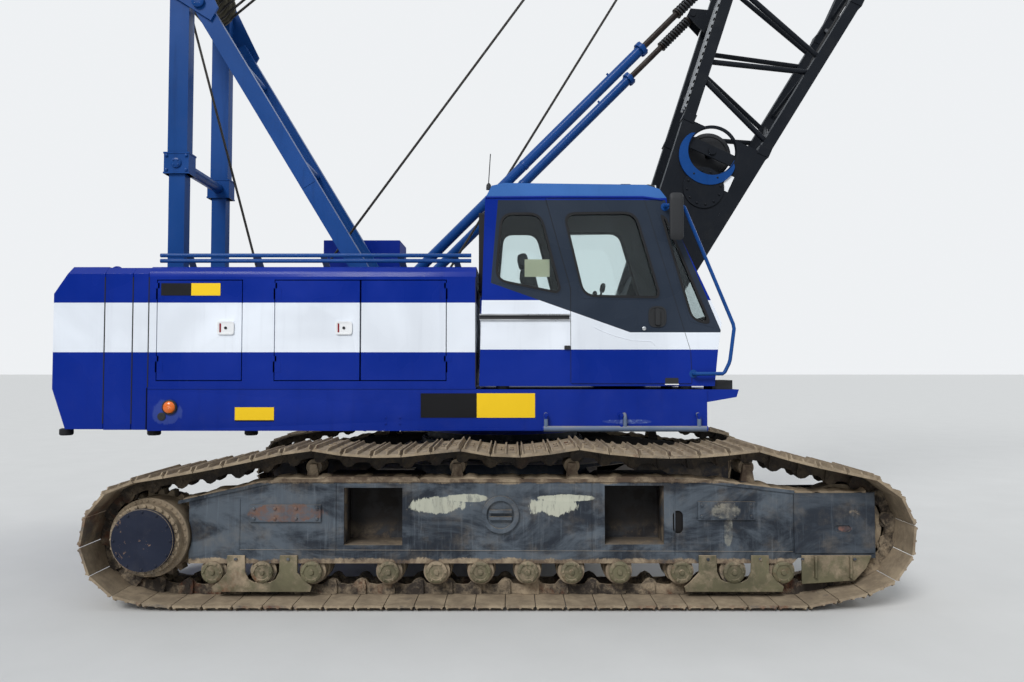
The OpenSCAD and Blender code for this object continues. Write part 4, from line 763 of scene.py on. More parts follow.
def plain(name, base, rough=0.5, metallic=0.0, scale=60.0, bump=0.1, vary=0.25):
    """Plastic, rubber or metal with a fine grain and a little colour change."""
    t, wire = material(name, bump=bump, step=0.001, metallic=metallic)
    p = t.place()
    wide = t.noise(p, 2.5, 4, 0.6)
    pale = tuple(min(1.0, v * (1 + vary) + 0.004 * vary) for v in base)
    roughness = t.between(wide, 0.3, 0.7, rough, min(1.0, rough + 0.15))
    return wire(t.mix(wide, base, pale), roughness, t.noise(p, scale, 4, 0.6))


def wire_rope():
    """Laid wire: slanting strands made by a wave over the rope's own UV map."""
    t, wire = material("hoist_rope_wire", bump=0.8, step=0.003, metallic=0.6)
    u, v, _ = t.xyz(t.node("ShaderNodeUVMap", uv_map="rope").outputs[0])
    lay = t.math("SINE", (u * 9.0 + v * 6.0) * (2 * pi))
    wide = t.noise(t.place(), 4.0, 4, 0.6)
    c = t.mix(t.between(lay, -0.9, 0.4), (0.012, 0.012, 0.012), t.mix(wide, (0.05, 0.047, 0.043), (0.10, 0.09, 0.08)))
    return wire(c, t.between(wide, 0.3, 0.7, 0.35, 0.6), lay)


def glass():
    """Tinted glass that shows the cab's inside, with a faint dust film in its roughness."""
    t, wire = material("cab_glass_tint", **{"Transmission Weight": 1.0, "IOR": 1.45})
    return wire((0.80, 0.88, 0.88), t.between(t.noise(t.place(), 6, 5, 0.6), 0.4, 0.75, 0.0, 0.10))


def lamp_glass(name, base):
    """A ribbed lamp lens."""
    t, wire = material(name, bump=0.4, step=0.002, coat=0.8)
    rib = t.math("SINE", t.xyz(t.place())[2] * 900.0)
    return wire(t.mix(t.noise(t.place(), 20, 3), base, tuple(min(1, v * 1.5) for v in base)), 0.15, rib)


def floor_paint():
    """Pale, matt floor."""
    t, wire = material("studio_floor", bump=0.05)
    n = t.noise(t.place(), 1.5, 6, 0.6)
    return wire(t.mix(n, (0.56, 0.56, 0.55), (0.64, 0.64, 0.63)), t.between(n, 0.3, 0.7, 0.8, 0.95))


MATERIALS = {}


def make_materials():
    """Fills MATERIALS, whose short names the pieces below use."""
    paint_wear_group()
    mud_steel_group()
    patch_group()
    c = colours()
    rubbed = ((-2.756, 1.395, 0.12, 0.10, 0.07), (1.065, 1.318, 0.20, 0.018, 0.45))
    MATERIALS.update({
        "band": band_paint("house_band_paint"),
        "cab": band_paint("cab_band_paint", cab=True),
        "blue": painted("body_blue_paint", c.body_blue, (0.33, 0.36, 0.42), fade=0.15, chips=0.35, dust=0.05),
        "deck": painted("deck_blue_paint", c.body_blue, (0.40, 0.43, 0.46), 0.3, 0.25, 0.62, 0.05, marks=rubbed),
        "tube": painted("tube_blue_paint", c.tube_blue, (0.42, 0.45, 0.50), 0.3, 0.4, 0.45, 0.04),
        # The rail brackets' darker blue is painted shade on the tube paint.
        "tube_dark": painted("bracket_shaded_blue_paint", (0.004, 0.012, 0.045), (0.30, 0.33, 0.36), chips=0.4, dust=0.1),
        "step": painted("step_bar_paint", (0.10, 0.14, 0.22), c.rust, chips=1.1, dust=0.6, rough=0.5),
        "frame": frame_paint(),
        "carbody": painted("carbody_paint", c.frame_dark, c.rust, chips=0.7, dust=0.95, rough=0.6, bump=0.3),
        "shoe": muddy("track_shoe_steel", c.steel, 0.66, 0.60, 11),
        # The chain's upper run is darkened as grease and painted shade.
        "chain": muddy("track_link_steel", (0.045, 0.036, 0.030), 0.42, 0.35, 19, grease_and_shade_above=0.85),
        "wheel": muddy("wheel_steel", c.steel, 0.66, 0.35, 16),
        "cap": muddy("roller_cap_steel", c.guard_green, 0.36, 0.2, 22),
        "guard": muddy("roller_guard_paint", c.guard_green, 0.42, 0.15, 10, bump=0.35),
        "disc": painted("drive_cover_paint", (0.014, 0.018, 0.034), (0.20, 0.13, 0.09), chips=1.5, dust=0.12,
                        rough=0.6),
        "boom": painted("boom_paint", c.boom_black, (0.12, 0.12, 0.12), 0.08, 0.3, 0.6, 0.05, 0.45),
        "drum": plain("drum_steel", (0.030, 0.031, 0.034), 0.45, 0.3, 25),
        "rod": painted("backstop_rod_paint", (0.020, 0.014, 0.012), (0.22, 0.12, 0.07), chips=0.6, rough=0.4),
        "cast": painted("cast_sheave_paint", (0.12, 0.11, 0.08), (0.3, 0.25, 0.2), chips=0.9, dust=0.4, rough=0.55),
        "yellow": painted("block_yellow_paint", c.hook_yellow, (0.12, 0.09, 0.07), chips=1.0, dust=0.4, rough=0.42),
        "hook": muddy("forged_hook_steel", (0.055, 0.052, 0.05), 0.05, 0.3, 20, metallic=0.5),
        "bright": plain("bright_steel", (0.55, 0.56, 0.57), 0.25, 0.9, 90, 0.05),
        "rubber": plain("gasket_rubber", (0.012, 0.012, 0.013), 0.6, scale=120),
        "plastic": plain("black_plastic", (0.022, 0.023, 0.025), scale=220, bump=0.25),
        "seat": plain("seat_fabric", (0.045, 0.048, 0.055), 0.9, scale=420, bump=0.6),
        "trim": plain("cab_trim_grey", (0.11, 0.115, 0.12), 0.7, scale=160, bump=0.2),
        "plate_yellow": plain("blank_plate_yellow", (0.86, 0.56, 0.010), 0.4, scale=30, vary=0.1),
        "plate_black": plain("blank_plate_black", (0.003, 0.003, 0.004), 0.4, scale=30),
        "card": plain("blank_card", (0.62, 0.60, 0.42), 0.8, scale=30, vary=0.1),
        "plate_white": plain("blank_plate_white", (0.74, 0.75, 0.76), 0.45, scale=30),
        "plate_red": plain("blank_plate_red", (0.22, 0.012, 0.02), 0.45, scale=30),
        "orange": lamp_glass("orange_lamp_lens", (0.65, 0.13, 0.01)),
        "clear_lamp": lamp_glass("work_lamp_lens", (0.60, 0.62, 0.62)),
        "mirror": plain("mirror_glass", (0.75, 0.77, 0.78), 0.04, 1.0, 5, 0.0, 0.05),
        "glass": glass(),
        "grating": plain("walkway_steel", (0.26, 0.27, 0.28), 0.6, 0.5, 50),
        "hose": plain("hose_rubber", (0.015, 0.015, 0.016), 0.55, scale=90, bump=0.3),
        "engine": plain("engine_paint", (0.10, 0.11, 0.11), scale=20, bump=0.3),
        "rope": wire_rope(),
        "winding": plain("rope_winding_wire", (0.045, 0.042, 0.038), 0.5, 0.5, 140, 0.8),
        "floor": floor_paint(),
    })


# ---------------------------------------------------------------- running gear
def track_joints(count=60):
    """Link joints of one track in XZ: the flat lower run, round the idler, the sagging upper run
    over the carriers, round the sprocket. Each sag is a parabola between its two supports."""
    r_i, r_s = 0.419, 0.426
    carriers = np.array([[1.885, 1.152], [0.556, 1.170], [-0.316, 1.165], [-1.410, 1.165]])
    front, rear = np.array([2.24, 0.048]), np.array([-2.45, 0.048])

    def touch(p, c, r, side):
        v = p - c
        return atan2(v[1], v[0]) + side * acos(r / np.linalg.norm(v))

    def sagging(p, q, sag):
        t = np.linspace(0, 1, 13)[1:, None]
        return p + (q - p) * t - np.array([0, 4 * sag]) * t * (1 - t)

    a0, a1 = touch(front, IDLER, r_i, 1), touch(carriers[0], IDLER, r_i, -1)
    b0, b1 = touch(carriers[3], SPROCKET, r_s, 1), touch(rear, SPROCKET, r_s, -1) + 2 * pi
    first, last = arc(IDLER, r_i, a0, a1, 25), arc(SPROCKET, r_s, b0, b1, 25)
    path = np.concatenate([front[None], first, sagging(first[-1], carriers[0], 0.015),
                           *[sagging(p, q, 0.06) for p, q in zip(carriers, carriers[1:])],
                           sagging(carriers[3], last[0], 0.015), last[1:], rear[None], front[None]])
    s = np.concatenate([[0], np.cumsum(np.linalg.norm(np.diff(path, axis=0), axis=1))])
    at = np.linspace(0, s[-1], count + 1)
    return np.stack([np.interp(at, s, path[:, 0]), np.interp(at, s, path[:, 1])], 1)


def shoe_shape(pitch, width=0.8):
    """One shoe along X: a plate with three grousers whose ends are cut down at both sides."""
    f = np.array([0.012, 0.02, 0.045, 0.06, 0.10, 0.125, 0.45, 0.47,
                  0.52, 0.545, 0.865, 0.885, 0.925, 0.945, 0.985, 0.988])
    h = np.array([0.001, 0.012, 0.016, 0.045, 0.046, 0.020, 0.018, 0.040,
                  0.040, 0.018, 0.020, 0.045, 0.046, 0.014, 0.011, 0.001])
    rows = []
    for y, keep in ((-1, 0.27), (-0.965, 0.33), (-0.90, 1), (0.90, 1), (0.965, 0.33), (1, 0.27)):
        top = np.where(h > 0.022, 0.020 + (h - 0.020) * keep, h)
        rows.append(xz(np.stack([f * pitch, top], 1), y * width / 2))
    s = Shape().grid(np.array(rows))
    for x in (0.29, 0.70):
        s.bolts([(x * pitch, y, 0.018) for y in (-0.075, 0.075)], UP, 0.016, 0.012)
    return s


def link_shape(pitch):
    """One chain link along X: two cranked side plates, a bushing and a pin."""
    s = Shape()
    for side in BOTH:
        rows = []
        for f, y, deep in ((-0.17, 0.088, 0.070), (-0.13, 0.088, 0.104), (0.0, 0.088, 0.116), (0.15, 0.088, 0.104),
                           (0.27, 0.088, 0.074), (0.40, 0.090, 0.070), (0.55, 0.108, 0.070), (0.72, 0.110, 0.074),
                           (0.85, 0.110, 0.104), (1.0, 0.110, 0.116), (1.13, 0.110, 0.104), (1.17, 0.110, 0.070)):
            low, near, far = -0.002 - deep, side * (y - 0.011), side * (y + 0.009)
            rows.append([(f * pitch, yy, zz) for yy, zz in ((near, low), (far, low), (far, -0.002), (near, -0.002))])
        s.grid(np.array(rows))
    s.tube([(0, -0.124, -0.062), (0, 0.124, -0.062)], 0.020, 10)
    return s.tube([(0, -0.08, -0.046), (0, 0.08, -0.046)], 0.032)


def link_frames(y):
    """Origins and axes of all links of the track centred on y; the third axis points outwards from the loop."""
    j = track_joints()
    u = np.diff(j, axis=0)
    pitch = np.linalg.norm(u, axis=1).mean()
    u /= np.linalg.norm(u, axis=1)[:, None]
    out = np.stack([u[:, 1], -u[:, 0]], 1)
    return np.stack([xz(j[:-1], y), xz(u, 0.0), np.tile([0.0, 1.0, 0.0], (len(u), 1)), xz(out, 0.0)], 1), pitch


class CRANE_OT_tracks(bpy.types.Operator):
    """Shoes and link chains of both tracks"""
    bl_idname = "crane.tracks"
    bl_label = "Tracks"

    def execute(self, context):
        for name, s in SIDES.items():
            frames, pitch = link_frames(s * TRACK_Y)
            Shape().copies(shoe_shape(pitch), frames).make(
                f"shoes_{name}", "undercarriage", "shoe", "track_steel", 30, replaces=(f"track_{name}",))
            Shape().copies(link_shape(pitch), frames).make(
                f"link_chain_{name}", "undercarriage", "chain", "track_steel")
        return {"FINISHED"}


class CRANE_OT_running_gear(bpy.types.Operator):
    """Side frames, rollers, sprockets, idlers, guards, carbody and swing ring"""
    bl_idname = "crane.running_gear"
    bl_label = "Running gear"

    def execute(self, context):
        for name in SIDES:
            dress(f"side_frame_{name}", "frame", 0.005)
        dress("track_rollers", "wheel")
        dress("idlers", "wheel", 0.006)
        dress("sprockets", "wheel")
        dress("roller_guards", "guard")
        dress("carbody", "carbody", 0.010)
        dress("swing_ring", "carbody")
        y = -FRAME_FACE

        def both_sides(shape, name, mat, slot="worn_steel", smooth=40):
            shape.mirrored().make(name, "undercarriage", mat, slot, smooth)

        caps = Shape()
        for x in ROLLER_X:
            caps.lathe([(0.080, 0), (0.080, 0.022), (0.074, 0.028), (0.056, 0.030), (0.052, 0.024), (0.022, 0.024),
                        (0.018, 0.036), (0.006, 0.038)], (x, y, ROLLER_Z), RIGHT)
            caps.bolt_ring((x, y - 0.026, ROLLER_Z), RIGHT, 0.066, 6, 0.009, 0.010)
        both_sides(caps, "roller_caps", "cap")
        x, z = SPROCKET
        hubs = Shape().bolt_ring((x, y - 0.110, z), RIGHT, 0.242, 24, 0.014, 0.016)
        hubs.bolt_ring((x, y - 0.040, z), RIGHT, 0.272, 36, 0.012, 0.014, start=0.05)
        hubs.lathe([(0.284, -0.030), (0.293, -0.024), (0.293, 0.000), (0.286, 0.006), (0.258, 0.006)],
                   (x, y - 0.040, z), RIGHT, 56)
        both_sides(hubs, "drive_bolts", "wheel")
        disc = Shape().lathe([(0.2265, -0.030), (0.231, -0.026), (0.231, -0.006), (0.224, 0.003), (0.150, 0.006),
                              (0.060, 0.008), (0.050, 0.005), (0.012, 0.005)], (x, y - 0.155, z), RIGHT, 56)
        disc.bolt_ring((x, y - 0.157, z), RIGHT, 0.208, 12, 0.010, 0.010)
        both_sides(disc, "drive_covers", "disc", smooth=35)
        bolts = Shape().bolt_ring((0, 0, 1.070), UP, 0.792, 56, 0.016, 0.018)
        bolts.make("swing_ring_bolts", "undercarriage", "carbody", "worn_steel")
        plates = Shape()
        for x0, x1, z0, z1 in ((-1.86, -1.33, 0.612, 0.736), (1.49, 1.92, 0.625, 0.760)):
            plates.bolts([(x0 + 0.03 + (x1 - x0 - 0.06) * i / 3, y - 0.018, z)
                          for i in range(4) for z in (z0 + 0.025, z1 - 0.025)], RIGHT, 0.013, 0.012)
        plates.bolts([(x + dx, y - 0.0163, 0.335) for x in (-1.764, 1.756, 2.46) for dx in (-0.195, 0.195)],
                     RIGHT, 0.013, 0.012)
        both_sides(plates, "frame_bolts", "frame", "frame_paint")
        seams = Shape()
        for a, b in (((-1.94, 0.40), (-1.94, 0.78)), ((-1.22, 0.36), (-1.22, 0.90)), ((-0.66, 0.36), (-0.66, 0.90)),
                     ((0.70, 0.36), (0.70, 0.90)), ((1.32, 0.36), (1.32, 0.90)), ((2.205, 0.38), (2.205, 0.80)),
                     ((-1.94, 0.40), (2.205, 0.385))):
            mid = ((a[0] + b[0]) / 2, y - 0.001, (a[1] + b[1]) / 2)
            seams.tube([(a[0], y, a[1]), mid, (b[0], y, b[1])], 0.0045, 6)
        both_sides(seams, "frame_weld_seams", "frame", "frame_paint", 60)
        n = np.linspace(-2.36, 2.75, 140)
        top = np.interp(n, [-2.40, -1.66, 1.36, 1.587, 2.215, 2.24, 2.82],
                        [0.770, 0.932, 0.932, 0.922, 0.845, 0.830, 0.832])
        lump = 0.012 + 0.008 * np.sin(n * 23) + 0.006 * np.sin(n * 57 + 1) + 0.004 * np.sin(n * 131)
        rows = [xz(np.stack([n, top + k * lump], 1), y + dy) for dy, k in (
            (-0.011, -0.6), (-0.008, 0.5), (0.04, 1.2), (0.12, 1.0), (0.19, 0.6), (0.20, -1.5))]
        ledge = Shape().grid(np.array(rows), round_u=True, round_v=False, caps=False)
        both_sides(ledge, "dried_mud_ledge", "shoe", "track_steel", 50)
        return {"FINISHED"}


# ---------------------------------------------------------------- upper works
def door_trim(x, y):
    """Latch plate with its mark, and the round lock, of the house door whose free edge is at x."""
    a, b = x - 0.20, x - 0.06
    s = Shape().frame(rect(a + 0.012, 2.052, b - 0.012, 2.138, 0.02), rect(a, 2.04, b, 2.15, 0.025),
                      y + 0.004, y - 0.013, 1)
    s.plate(rect(a + 0.010, 2.05, b - 0.010, 2.14, 0.02), y + 0.004, y - 0.0105, 1)
    s.plate(rect(a + 0.020, 2.058, a + 0.034, 2.132, 0.004), y - 0.009, y - 0.0125, 3)
    return s.lathe([(0.012, 0), (0.012, 0.006), (0.008, 0.008), (0.004, 0.006)],
                   (a + 0.072, y - 0.009, 2.095), RIGHT, 18, 2)


class CRANE_OT_houses(bpy.types.Operator):
    """Deck, counterweight, machinery houses with their doors, rails and exhaust"""
    bl_idname = "crane.houses"
    bl_label = "Deck and houses"

    def execute(self, context):
        y = -HALF_W
        dress("counterweight", "band", 0.006)
        for name in SIDES:
            dress(f"house_{name}", "band", flat=HALF_W + 0.0012)
            for place, edge in LATCH_EDGES.items():
                node = f"door_{name}_{place}"
                dress(node, "band", 0.005, flat=HALF_W + 0.0015)
                if edge is None:
                    continue
                trim = door_trim(edge, y)
                if name == "left":
                    trim.moved(lambda p: p * (1, -1, 1))
                trim.make(f"{node}_trim", FRAME["nodes"][node]["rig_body"], "band plate_white plastic plate_red",
                          "blue_paint", 35)
        dress("deck", "deck", 0.005)
        dress("engine", "engine", 0.03)
        dress("exhaust_hood", "blue", 0.008)
        feet = Shape()
        for x in (-3.66, -2.92, -2.10):
            feet.lathe([(0.045, 0), (0.055, 0.01), (0.055, 0.05), (0.04, 0.058)], (x, y + 0.12, 1.196), UP, 20)
        feet.mirrored().make("rubber_feet", "upper", "rubber", "black_plastic")
        lamp, at = Shape(), (-2.739, y, 1.437)
        lamp.lathe([(0.062, 0), (0.062, 0.014), (0.052, 0.018), (0.050, 0.010)], at, RIGHT, 32)
        lamp.lathe([(0.050, 0.004), (0.049, 0.020), (0.040, 0.029), (0.020, 0.034), (0.006, 0.035)], at, RIGHT, 32, 1)
        lamp.lathe([(0.034, 0), (0.034, 0.006), (0.027, 0.008), (0.012, 0.006)], (-2.806, y, 1.360), RIGHT, 24)
        lamp.mirrored().make("side_lamps", "upper", "plastic orange", "black_plastic", 35)
        plates = Shape()
        for x0, x1, z0, z1, proud, mat in (
                (-2.826, -2.574, 2.366, 2.469, 0.0035, 1), (-2.574, -2.332, 2.366, 2.469, 0.0035, 0),
                (-0.658, -0.192, 1.350, 1.552, 0.004, 1), (-0.192, 0.291, 1.350, 1.552, 0.004, 0),
                (-2.198, -1.874, 1.330, 1.436, 0.004, 0), (-2.198, -1.874, 1.322, 1.330, 0.005, 1)):
            plates.block((x0, y - proud, z0), (x1, y + 0.002, z1), mat)
        plates.make("blank_plates", "upper", "plate_yellow plate_black", "black_plastic", 35)
        trim = Shape().block((-2.925, y - 0.004, 1.586), (-0.202, y + 0.003, 1.602))
        for x in (-3.294, -3.060, -2.927, -0.202):
            trim.block((x - 0.004, y - 0.002, 1.60 if x > -3 else 1.30), (x + 0.004, y + 0.006, 2.52), 1)
        trim.bolts([(x, y, 1.30 + 0.05 * k) for x in (-0.95, -0.83) for k in (0, 1)], RIGHT, 0.010, 0.006)
        trim.block((-0.665, y - 0.003, 1.243), (1.70, y + 0.002, 1.262))
        trim.mirrored().make("house_trim", "upper", "blue rubber", "blue_paint", 30)
        rails = Shape()
        for z in (2.668, 2.714):
            rails.tube([(-2.873, y + 0.085, z), (-0.245, y + 0.085, z)], 0.017, 14)
        # Slanted rail brackets, in the darker blue of painted shade.
        for x in (-2.62, -2.05, -1.49, -0.84, -0.38):
            rails.plate([(x, 2.608), (x + 0.055, 2.608), (x + 0.020, 2.716), (x - 0.035, 2.716)],
                        y + 0.078, y + 0.092, 1)
        rails.mirrored().make("roof_rails", "upper", "tube tube_dark", "tube_paint", replaces=("handrails",))
        roof = Shape()
        for k in range(9):
            x = -2.03 + k * 0.1
            roof.bar((x, 0.9, 3.236), (x, 1.36, 3.236), 0.012, 0.02, UP)
        for x in (-2.70, -0.95):
            for y0, y1 in ((0.85, 1.45), (-1.45, -0.85)):
                roof.plate(rect(x, 2.612, x + 0.55, 2.622, 0.004), y0, y1)
        roof.lathe([(0.064, 0), (0.070, 0.01), (0.070, 0.03), (0.064, 0.04)], (-1.10, 1.13, 2.90), UP, 24)
        roof.make("roof_trim", "upper", "blue", "blue_paint", 35, 0.002)
        lugs = Shape()
        for side in BOTH:
            lugs.tube(xz(arc((-3.40, 2.600), 0.055, -0.3, pi + 0.3, 14), side * 1.2), 0.011, 8)
        lugs.make("lifting_lugs", "upper", "blue", "blue_paint", 60)
        steps = Shape().tube([(0.36, y - 0.05, 1.262), (1.70, y - 0.05, 1.262)], 0.0235, 14)
        for x in (0.38, 1.03, 1.64):
            steps.tube([(x, y + dy, z) for dy, z in ((-0.05, 1.262), (-0.05, 1.340), (-0.042, 1.365), (-0.02, 1.377),
                                                     (0.002, 1.377))], 0.017, 10)
        steps.make("step_bar", "upper", "step", "frame_paint", 60)
        return {"FINISHED"}


class CRANE_OT_gantry(bpy.types.Operator):
    """Gantry, bridle, pendants, backstops and the luffing rope"""
    bl_idname = "crane.gantry"
    bl_label = "Gantry and stays"

    def execute(self, context):
        dress("gantry_posts", "tube", 0.006)
        dress("gantry_legs", "tube", 0.008)
        dress("bridle", "tube")
        dress("gantry_sheaves", "cast", 0.0)
        dress("pendants", "drum")
        dress("backstop_tubes", "tube")
        parts = Shape()
        for (x, z), r, y, face in ((GANTRY_HEAD, 0.070, -0.645, -0.655), (LEG_HEAD, 0.060, -0.645, -0.655),
                                   ((-3.14, 3.745), 0.050, -0.625, -0.638)):
            parts.lathe([(r, 0), (r, 0.012), (r - 0.010, 0.018), (0.020, 0.018)], (x, y, z), RIGHT)
            parts.bolt_ring((x, face, z), RIGHT, r * 0.62, 4, 0.010, 0.010, start=pi / 4)
        parts.bolts([(x, -0.625, z) for z in (3.675, 3.815) for x in (-3.235, -3.045)], RIGHT, 0.016, 0.014)
        for z in (3.640, 3.834):
            parts.block((-3.265, -0.630, z), (-3.015, -0.450, z + 0.016))
        parts.block((-3.24, -0.66, 1.62), (-3.04, -0.42, 1.645))
        half = unit(LEG_HEAD - LEG_FOOT) * 0.09
        for f in (0.30, 0.55):
            c = LEG_FOOT + (LEG_HEAD - LEG_FOOT) * f
            parts.bar(*xz([c - half, c + half], -0.606), 0.13, 0.006)
        parts.mirrored().make("gantry_fittings", "upper", "tube", "tube_paint", 38)
        self.backstops()
        self.stay_ropes()
        return {"FINISHED"}

    def backstops(self):
        rods, nuts = Shape(), Shape()
        x0, x1, coils = STOP_LEN - 0.46, STOP_LEN - 0.075, 11
        for s in BOTH:
            y = STOP_Y * s
            rods.tube([(2.16, y, 0), (STOP_LEN - 0.034, y, 0)], 0.032, 20)
            rods.lathe([(0.020, -0.058), (0.020, -0.045), (0.044, -0.045), (0.044, 0.045), (0.020, 0.045),
                        (0.020, 0.058)], (STOP_LEN, y, 0), LEFT, 24)
            t = np.linspace(0, coils * 2 * pi, coils * 18)
            spring = [x0 + (x1 - x0) * t / t[-1], y + 0.0445 * np.cos(t), 0.0445 * np.sin(t)]
            rods.tube(np.stack(spring, 1), 0.0105, 8, 1)
            for x in (x0 - 0.014, x1 + 0.002):
                rods.lathe([(0.055, 0), (0.055, 0.012)], (x, y, 0), AHEAD, 24)
            nuts.bolt_ring((3.640, y, 0), AHEAD, 0.062, 6, 0.010, 0.010)
            nuts.bolt_ring((3.594, y, 0), (-1, 0, 0), 0.062, 6, 0.010, 0.010)
            nuts.lathe([(0.058, 0), (0.058, 0.06), (0.051, 0.066)], (0.10, y, 0), AHEAD)
            nuts.lathe([(0.054, 0), (0.054, 0.03)], (1.95, y, 0), AHEAD)
            nuts.lathe([(0.012, 0), (0.012, 0.018), (0.006, 0.020)], (3.2, y, 0.049), UP, 10)
        turn = along(STOP_PIVOT, STOP_ANGLE)
        rods.moved(turn).make("backstop_rods_and_springs", "stop_rods", "rod drum", "rod_steel",
                              replaces=("backstop_rods",))
        nuts.moved(turn).make("backstop_flange_nuts", "stop_tubes", "tube", "tube_paint")

    def stay_ropes(self):
        turn, reach = along(GANTRY_HEAD, STAY_ANGLE), 2.3
        lanes = (-0.30, -0.18, -0.06, 0.06, 0.18, 0.30)
        for k, y in enumerate(lanes):
            for side, z in (("upper", 1), ("lower", -1)):
                a, b = turn(np.array([[0.0, y, z * SHEAVE_R], [reach, y, z * WHEEL_R]]))
                rope(f"stay_fall_{k}_{side}", straight(a, b, 20), None, between=("gantry_block", "stays", a, b))
        for label, body, x, r, a0, a1 in (("gantry", "gantry_block", 0.0, SHEAVE_R, 90, 270),
                                          ("bridle", "stays", reach, WHEEL_R, -90, 90)):
            for k, y in enumerate(lanes):
                end = 200 if (label, k) == ("gantry", 3) else a1
                rope(f"{label}_wrap_{k}", turn(xz(arc((x, 0), r, radians(a0), radians(end), 17), y)), body)
        x, z, r, _ = DRUMS["luffing_drum"]
        p, q, _ = tangent((x, z), r + LAP, GANTRY_HEAD, -SHEAVE_R, -1)
        rope("luffing_line", xz(straight(p, q, 30), 0.06), "upper")


def wound_drum(r, half, flange, sides):
    """A drum along Y with a flange at each end. Its rope lies side by side: the profile rises and
    falls once for each turn of 27 mm."""
    n = int(2 * half / 0.0267)
    y = np.linspace(-half, half, n * 6 + 1)
    rise = r + GROOVE + GROOVE * np.abs(np.sin(pi * (y + half) / (2 * half) * n))
    s = Shape().lathe(np.concatenate([[(0.06, -half)], np.stack([rise, y], 1), [(0.06, half)]]), (0, 0, 0), LEFT, 56, 1)
    for k in BOTH:
        s.lathe(flange, (0, 0, 0), (0, k, 0), sides)
    return s


class CRANE_OT_drums(bpy.types.Operator):
    """Winch drums with their rope and the two hoist lines"""
    bl_idname = "crane.drums"
    bl_label = "Drums and lines"

    def execute(self, context):
        for name, (x, z, r, out) in DRUMS.items():
            flange = [(0.0455, 0.262), (out - 0.012, 0.262), (out, 0.266), (out, 0.284), (out - 0.012, 0.290),
                      (out - 0.035, 0.290), (out - 0.045, 0.282), (0.15, 0.282), (0.14, 0.2895), (0.0455, 0.2895)]
            s = wound_drum(r + 0.060, 0.2615, flange, 56)
            for k in BOTH:
                s.bolt_ring((0, k * 0.2815, 0), (0, k, 0), 0.19, 10, 0.010, 0.008)
            s.moved(lambda p: p + (x, 0, z))
            s.make(f"{name}_wound", name, "drum winding", "drum_steel", 35, replaces=(name,))
        guide = in_boom(np.array([[12.520, 0, 0.450]]))[0][[0, 2]]
        guide_r, tip_r = 0.12 + GROOVE, 0.33 - 0.0275 + GROOVE
        for label, y in (("main", -0.130), ("second", 0.240)):
            x, z, r, _ = DRUMS[f"{label}_drum"]
            a, b, angle = tangent((x, z), r + LAP, guide, guide_r, 1)
            wrap = arc((x, z), r + LAP, angle + 1.2, angle, 12)
            path = xz(np.concatenate([wrap[:-1], straight(a, a + (b - a) * 0.999, 60)]), y)
            low, high = xz([a + (b - a) * 0.38, a + (b - a) * 0.62], y)
            rope(f"{label}_hoist_line", path, None, replaces=(f"{label}_line_lower", f"{label}_line_upper"),
                 between=(f"{label}_line_foot", f"{label}_line_head", low, high))
            c, d, over = tangent(guide, guide_r, TIP, tip_r, 1)
            path = [arc(guide, guide_r, angle, over, 8), straight(c, d, 8)[1:-1], arc(TIP, tip_r, over, 0.0, 20)]
            rope(f"{label}_line_over_head", xz(np.concatenate(path), y), "boom")
        return {"FINISHED"}


def half_depth(s):
    """From the boom's middle plane to its face, at s along the boom."""
    return np.interp(s, [0, 4.55, 9.7, 12.58], [0.15, 0.70, 0.70, 0.30])


